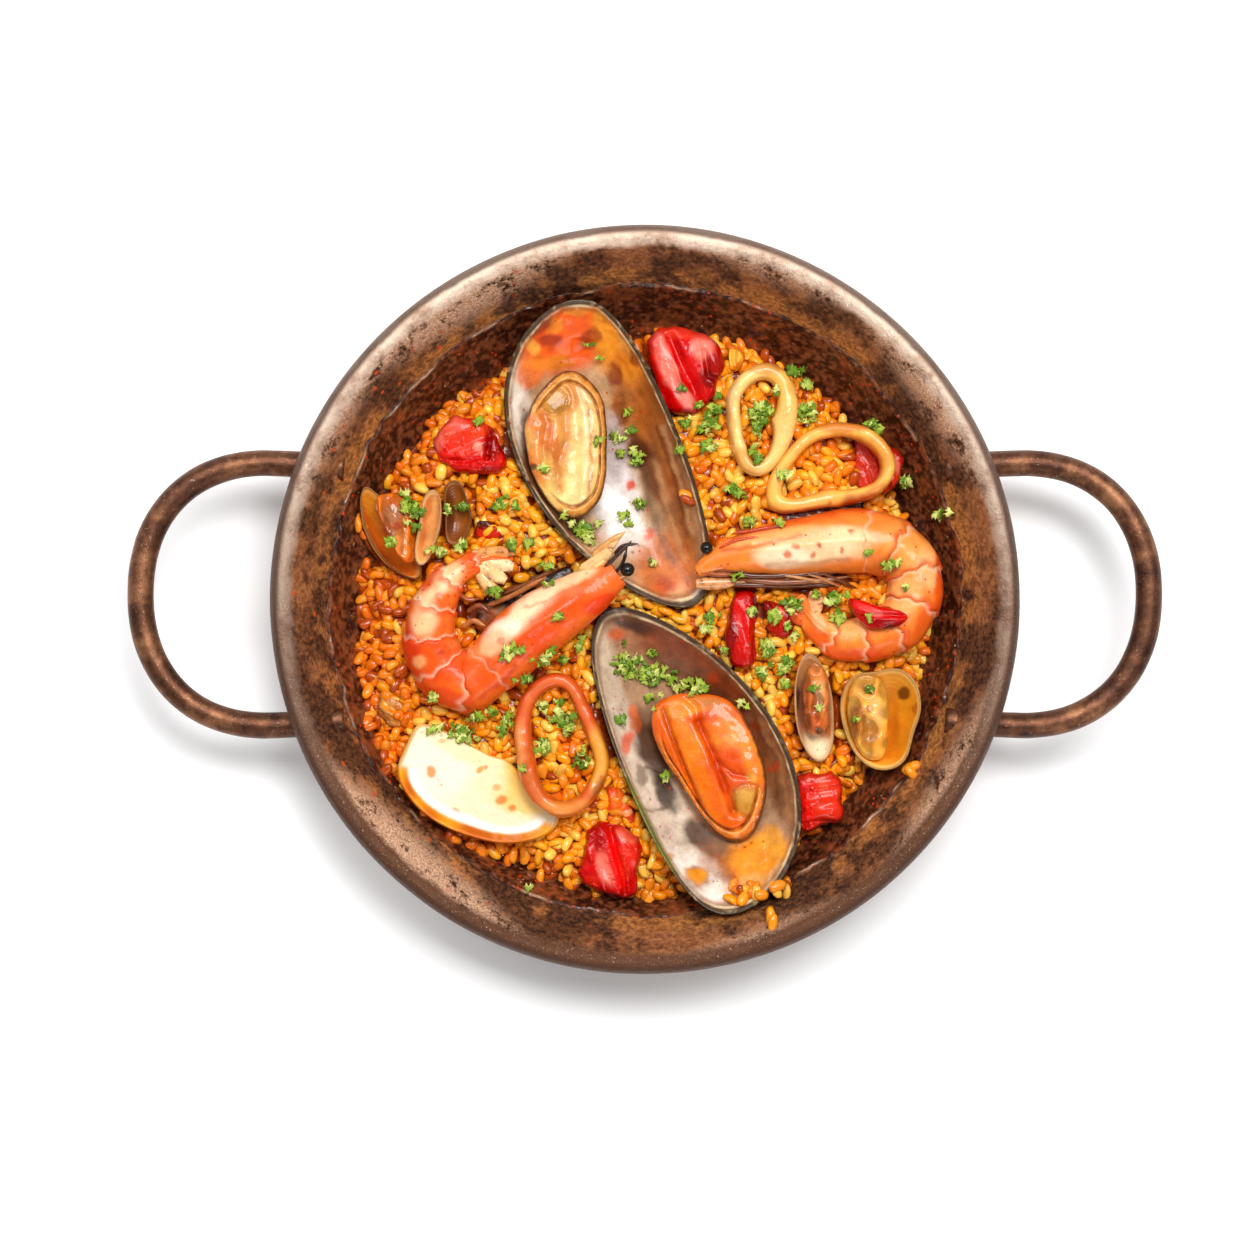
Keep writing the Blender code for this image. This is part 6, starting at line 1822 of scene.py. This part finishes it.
# Clusters of chopped leaf by node: a place x, y as shares of its box, how far it spreads along and
# across in mm, its turn in degrees and how many bits.
parsleyClusters = {
    "mussel_shell_lower": [
        (0.19, 0.8, 5.5, 6, 20, 34), (0.33, 0.76, 9, 3.4, -14, 34), (0.48, 0.73, 5, 2.4, -10, 14),
        (0.3, 0.69, 2.6, 2, 40, 6), (0.36, 0.43, 1.2, 1.6, 0, 3), (0.72, 0.67, 1.4, 0.7, 0, 2),
        (0.15, 0.62, 1, 1, 0, 2), (0.29, 0.84, 2, 1, 0, 4),
    ],
    "clam_shell_standing": [(0.82, 0.74, 4.6, 3.2, -50, 30), (0.5, 0.4, 1.2, 1.8, 0, 4)],
    "mussel_shell_upper": [
        (0.41, 0.86, 1.8, 0.8, 0, 3), (0.45, 0.82, 0.8, 2, 0, 3), (0.55, 0.57, 3.2, 1, -10, 6),
        (0.61, 0.59, 2, 0.9, 0, 4), (0.6, 0.65, 0.8, 1.2, 0, 2), (0.57, 0.52, 1.4, 0.8, 30, 3),
        (0.64, 0.51, 1.8, 2, 0, 8), (0.62, 0.49, 1, 0.8, 0, 3), (0.66, 0.35, 2, 1.4, 0, 6),
        (0.58, 0.32, 1.8, 1, 0, 3), (0.62, 0.29, 1.6, 0.8, 0, 2), (0.45, 0.29, 1.4, 1, 40, 2),
        (0.38, 0.26, 6.5, 1.8, -38, 26), (0.71, 0.16, 2, 0.8, -30, 3),
    ],
    "mussel_meat_upper": [(0.89, 0.52, 1.6, 1.4, 0, 5), (0.24, 0.34, 1.2, 0.6, 20, 2)],
    "squid_ring_top": [
        (0.45, 0.55, 4, 3, 0, 24), (0.42, 0.42, 1.4, 3.4, 10, 14), (0.43, 0.2, 1, 1.4, 0, 4),
        (0.7, 0.74, 0.9, 0.9, 0, 2), (1.18, 0.56, 2.6, 3, 0, 20), (1.05, 0.95, 2, 1.8, 0, 10),
        (1.18, 0.84, 1.2, 2, -20, 6), (-0.28, 0.46, 2.8, 3, -40, 20), (-0.28, 0.24, 2.6, 1.4, 0, 10),
        (-0.68, 0.2, 1.4, 1.2, 0, 5), (-0.56, 0.5, 0.9, 1.4, 0, 4), (-0.2, 0.6, 1.5, 1.5, 0, 5),
    ],
    "squid_ring_right": [
        (0.86, 1.0, 2.6, 1.2, -20, 12), (1.1, 0.35, 2.2, 2, 0, 10), (0.14, 0.42, 2.2, 0.9, 20, 7),
        (-0.08, 0.6, 1, 3, 15, 5), (-0.24, 0.26, 4.4, 1.2, -30, 14), (0.1, -0.12, 1.6, 0.9, -30, 6),
        (-0.14, -0.1, 1.4, 1.6, 0, 8), (1.34, -0.02, 2, 0.7, 0, 4),
    ],
    "pepper_top": [
        (0.46, 0.3, 0.9, 1, 0, 3), (0.66, 0.12, 0.9, 1.3, 0, 4), (0.88, 0.06, 1.6, 0.8, -20, 5),
        (0.92, 0.22, 0.9, 0.7, 0, 2), (0.5, -0.08, 1, 1, 0, 4),
    ],
    "pepper_middle": [
        (0.75, 0.72, 1, 1.2, 0, 5), (-0.4, 0.66, 2, 1.4, 20, 8), (-0.7, 0.5, 1.6, 1, 20, 5),
        (0.0, 0.24, 1, 0.7, 0, 3),
    ],
    "pepper_charred": [
        (0.35, 0.5, 1.2, 2.4, -20, 9), (1.0, 0.85, 3, 2, 10, 18), (0.1, -0.2, 2.6, 2.2, -20, 16),
        (0.7, -0.62, 3.6, 2.2, 0, 18), (-0.1, -0.8, 1.2, 1.6, 0, 8), (0.7, -1.1, 1.6, 2, 0, 9),
        (1.05, 0.1, 1, 0.8, 0, 3), (0.8, 0.4, 0.7, 1.6, 20, 4),
    ],
    "pepper_curl": [
        (-0.22, 0.95, 3, 2.2, 30, 16), (-0.16, 0.5, 2, 1.8, 0, 10), (0.3, 0.42, 0.9, 0.6, 0, 2),
        (-0.6, 1.1, 1.4, 0.8, 0, 4), (0.66, 2.0, 2.4, 1.2, 0, 12), (0.8, 2.05, 1.4, 0.8, 0, 5),
        (0.96, 1.35, 1.6, 0.6, 40, 3), (0.33, 2.4, 0.8, 0.7, 0, 2),
    ],
    "clam_shell_narrow": [(0.52, 0.67, 1.4, 0.6, 10, 3), (0.6, 0.5, 0.9, 0.5, 0, 2)],
    "clam_shell_wide": [(0.37, 0.8, 1.4, 0.7, 10, 3), (0.17, 0.5, 1, 0.7, 0, 3)],
    "squid_ring_left": [
        (0.5, 0.66, 4.6, 3.6, -30, 30), (0.3, 0.48, 3, 2.6, 20, 18), (0.72, 0.4, 2.4, 3, 0, 12),
        (0.44, 0.8, 1.6, 0.9, -30, 4), (0.3, 0.76, 1, 1.2, 0, 4), (-0.1, 0.66, 1.4, 2.4, 10, 7),
        (0.1, 0.96, 2.6, 0.7, 5, 8), (0.3, 1.1, 3.4, 1.6, 30, 16), (0.55, 1.1, 1.2, 1.8, 0, 6),
        (0.7, 1.2, 1, 2, 0, 4), (0.1, 0.35, 0.8, 1.4, 0, 3),
    ],
    "lemon_wedge": [
        (0.4, 0.9, 5.6, 2, -32, 30), (0.26, 0.93, 2.2, 0.8, 0, 6), (0.64, 0.92, 1.2, 1.6, 0, 6),
        (0.48, 1.02, 2.4, 1, 20, 7), (0.58, 1.06, 1.2, 1.2, 0, 5), (0.81, -0.38, 0.7, 1.6, -20, 3),
    ],
    "prawn_left": [
        (0.15, 0.09, 1.4, 1, 40, 4), (0.5, 0.35, 3.2, 1.4, 28, 10), (0.72, 0.55, 1, 1.3, 0, 4),
        (0.42, 0.71, 2, 1.6, 20, 8), (0.66, 0.75, 2, 0.9, 30, 5), (0.66, 0.86, 2.4, 1, -20, 5),
        (0.16, 0.94, 3.6, 0.8, -10, 9), (0.27, 0.98, 2.2, 1.2, 40, 9), (0.2, 1.2, 0.8, 1.6, 0, 5),
        (0.26, 1.2, 1.4, 0.9, 0, 4), (0.44, 1.22, 2.4, 1.2, 30, 9), (0.5, 0.98, 1.2, 1.8, 0, 8),
        (0.58, 0.99, 0.9, 0.9, 0, 4), (0.52, 1.22, 0.9, 1, 0, 3),
    ],
    "prawn_right": [(0.17, 0.55, 2, 0.8, 30, 4), (0.68, 0.7, 0.8, 1, 0, 2)],
    "pepper_left": [(0.6, 0.86, 1, 0.8, 0, 3)],
}


def leafBit(rows=9, columns=6):
    # A scrap of curly leaf along X: a thin section that rolls over along its length, its half width
    # going as sin(share)^0.5 with lobes cut into it.
    share = np.linspace(0.02, 0.98, rows)
    turn = np.linspace(0, turnFull, columns, endpoint=False)
    half = 0.46 * np.sin(share * math.pi) ** 0.5 * (0.72 + 0.42 * np.cos(share * 19 + 1))
    curl = 1.5 * (share - 0.5)
    x = np.sin(curl) / 1.5
    z = (np.cos(curl) - 0.8) / 1.5
    y = half[:, None] * np.cos(turn) + 0.12 * np.sin(share * 9)[:, None]
    thick = 0.05 * np.sin(turn)[None]
    x = x[:, None] + thick * np.sin(curl)[:, None]
    z = z[:, None] + thick * np.cos(curl)[:, None] + 0.9 * y**2
    return np.stack([x, y, z], -1)


def makeParsley():
    rng = np.random.default_rng(5)
    spots = []
    clusters = [(node, *cluster) for node, group in parsleyClusters.items() for cluster in group]
    for node, *place, spreadAlong, spreadAcross, turn, count in clusters:
        middle = placeOn(node, place)
        turned = math.radians(turn)
        along, across = rng.normal(0, 0.5, (2, count)) * np.array([[spreadAlong], [spreadAcross]])
        x = middle[0] + along * math.cos(turned) - across * math.sin(turned)
        y = middle[1] + along * math.sin(turned) + across * math.cos(turned)
        spots.append(np.column_stack([x, y]))
    spots = np.vstack(spots)
    count = len(spots)
    flat = np.column_stack([spots, np.zeros(count)])
    height = readMap(allTops, flat) + rng.uniform(0.1, 0.9, count)
    size = rng.uniform(*parsleyLook["size"], count)[:, None] * rng.uniform(0.7, 1.2, (count, 3))
    yaw, pitch, roll = rng.uniform(0, turnFull, count), rng.normal(0, 0.35, count), rng.normal(0, 0.45, count)
    copies = turnedCopies(leafBit(), np.column_stack([spots, height]), size, yaw, pitch, roll)
    copies += 0.5 * noise(copies, 1.3, 181)[..., None] * np.array([1, 1, 0.6])
    tones = np.array(parsleyLook["tones"])[rng.integers(0, len(parsleyLook["tones"]), count)]
    corners = withPoles(copies)
    tone = tones[:, None] * (1 + 0.35 * noise(corners, 0.9, 182))[..., None]
    print("parsley bits:", count)
    return finishPiece(joined("parsley_bits", copies, tone), leafFinish, "parsley")


leafFinish = foodFinish("parsleyLeaf", {
    "blotch": 1.6, "grain": 0.5, "contrast": 0.3, "relief": 0.1, "rough": 0.5, "wet": 0.15,
})

crustLook = {"columns": 900, "rows": 74, "inner": 88.0, "outer": 103.5}


def makeCrust():
    # Sauce burnt on to the wall: a ring that lies on the pan's inner face, its skin bubbled by
    # noise, thickest half way up and thin at both edges.
    turn = np.linspace(0, turnFull, crustLook["columns"], endpoint=False)
    rows = crustLook["rows"]
    share = np.concatenate([np.linspace(0, 1, rows // 5, endpoint=False), np.linspace(1, 0, rows)])[:, None]
    under = np.arange(len(share))[:, None] < rows // 5
    way = np.stack([np.cos(turn), np.sin(turn)], -1)
    circle = np.stack([100 * way[:, 0], 100 * way[:, 1], 0 * turn], -1)
    wave = 1.4 * noise(circle, 16, 191, 3) + 0.8 * noise(circle, 3.5, 198, 2)
    radius = crustLook["inner"] + share * (crustLook["outer"] + wave - crustLook["inner"])
    spots = radius[..., None] * way
    flat = np.concatenate([spots, 0 * radius[..., None]], -1)
    base = panInside(radius)
    thick = 4 * share * (1 - share)
    bubbles = 0.6 * noise(flat, 3.4, 192, 3) + 0.9 * np.abs(noise(flat, 1.7, 193, 2))
    skin = base + 0.05 + smoothStep(0, 0.3, thick) * np.maximum(0.55 + bubbles, 0.1)
    lip = np.exp(-(((share - 0.93) / 0.035) ** 2)) * np.maximum(0.5 * noise(flat, 8, 194, 3), 0)
    grid = np.concatenate([spots, np.where(under, base - 0.25, skin + lip)[..., None]], -1)
    tone = mixed(rgb(70, 35, 22), rgb(146, 90, 58), smoothStep(-0.2, 0.4, noise(grid, 1.3, 195, 3)))
    tone = mixed(tone, rgb(172, 100, 56), smoothStep(0.1, 0.5, noise(grid, 6, 196, 3)) * 0.45)
    # A pale, broken line near the crust's top edge: partly the dried sauce line, partly a painted glint on
    # its raised edge.
    sauceLineAndGlint = np.exp(-(((share - 0.96) / 0.022) ** 2)) * smoothStep(0.05, 0.4, noise(grid, 9, 197, 3))
    tone = mixed(tone, rgb(214, 176, 146), sauceLineAndGlint * 0.8)
    piece = putSurface("burnt_crust", grid, tone)
    return finishPiece(piece, crustFinish, "char")


crustFinish = foodFinish("burntCrust", {
    "blotch": 2.4, "grain": 0.6, "contrast": 0.4, "relief": 0.5, "rough": 0.3, "wet": 0.5,
    # The pale specks are painted glints on the crust's grit; the orange ones are paprika.
    "specks": [(rgb(216, 178, 150), 1.7, 0.6, 0.8), (rgb(236, 74, 14), 2.6, 0.5, 0.9)],
})

everything = [obj for obj in bpy.context.scene.collection.objects if "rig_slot" in obj]
allTops = widened(heightMap(everything, True), 1, True)
makeCrust()
makeParsley()
print("parsley and crust made")

# Light, floor and camera. The sky goes from one strength to another between two heights; a lamp is a
# place and a size in metres, and a power in watts. The camera's measures are in mm.

studio = {
    "cameraHeight": 813.0, "cameraOffset": (-4.77, -9.77), "viewWidth": 403.5, "floorSize": 6.0,
    "sky": (0.35, 0.85, 0.62, 0.1),
    "lamps": {
        "keyLight": ((0.23, 0.5, 1.3), (0.8, 0.5), 21), "sideLight": ((-0.6, 0.5, 1.0), (0.5, 0.5), 4),
        "frontLight": ((0.3, -0.95, 0.8), (0.7, 0.3), 3.5),
    },
}


def areaLight(name, place, size, power):
    light = bpy.data.lights.new(name, "AREA")
    light.shape = "RECTANGLE"
    light.size, light.size_y = size
    light.energy = power
    lamp = bpy.data.objects.new(name, light)
    bpy.context.scene.collection.objects.link(lamp)
    lamp.location = place
    aim = -lamp.location
    lamp.rotation_euler = aim.to_track_quat("-Z", "Y").to_euler()
    return lamp


def skyLight(tree):
    # White light all round, brightest near the horizon and dim overhead, so that wet flat tops stay rich.
    place = tree.nodes.new("ShaderNodeTexCoord")
    split = tree.nodes.new("ShaderNodeSeparateXYZ")
    rise = tree.nodes.new("ShaderNodeMapRange")
    back = tree.nodes["Background"]
    tree.links.new(place.outputs["Generated"], split.inputs[0])
    tree.links.new(split.outputs[2], rise.inputs[0])
    for socket, value in enumerate(studio["sky"], 1):
        rise.inputs[socket].default_value = value
    tree.links.new(rise.outputs[0], back.inputs[1])
    back.inputs[0].default_value = (1, 1, 1, 1)


def makeStudio():
    rim = nodeBox("pan")[1][2] - 3
    camera = bpy.data.cameras.new("camera")
    camera.sensor_width = 36
    camera.lens = 36 * studio["cameraHeight"] / studio["viewWidth"]
    camera.clip_start = 0.01
    viewer = bpy.data.objects.new("camera", camera)
    bpy.context.scene.collection.objects.link(viewer)
    x, y = studio["cameraOffset"]
    viewer.location = (x * metre, y * metre, (rim + studio["cameraHeight"]) * metre)
    bpy.context.scene.camera = viewer
    half = studio["floorSize"] / 2 / metre
    corners = [(-half, -half, 0), (half, -half, 0), (half, half, 0), (-half, half, 0)]
    floor = putMesh("floor", corners, [(0, 1, 2, 3)], np.zeros((0, 3), int), smooth=False)
    look = Finish("paleFloor")
    look.set(Base_Color=(0.97, 0.97, 0.97), Roughness=0.9)
    floor.data.materials.append(look.material)
    world = bpy.data.worlds.new("studioWorld")
    bpy.context.scene.world = world
    world.use_nodes = True
    skyLight(world.node_tree)
    for name, lamp in studio["lamps"].items():
        areaLight(name, *lamp)
    bpy.context.scene.view_settings.view_transform = "Standard"


makeStudio()
bpy.context.view_layer.update()
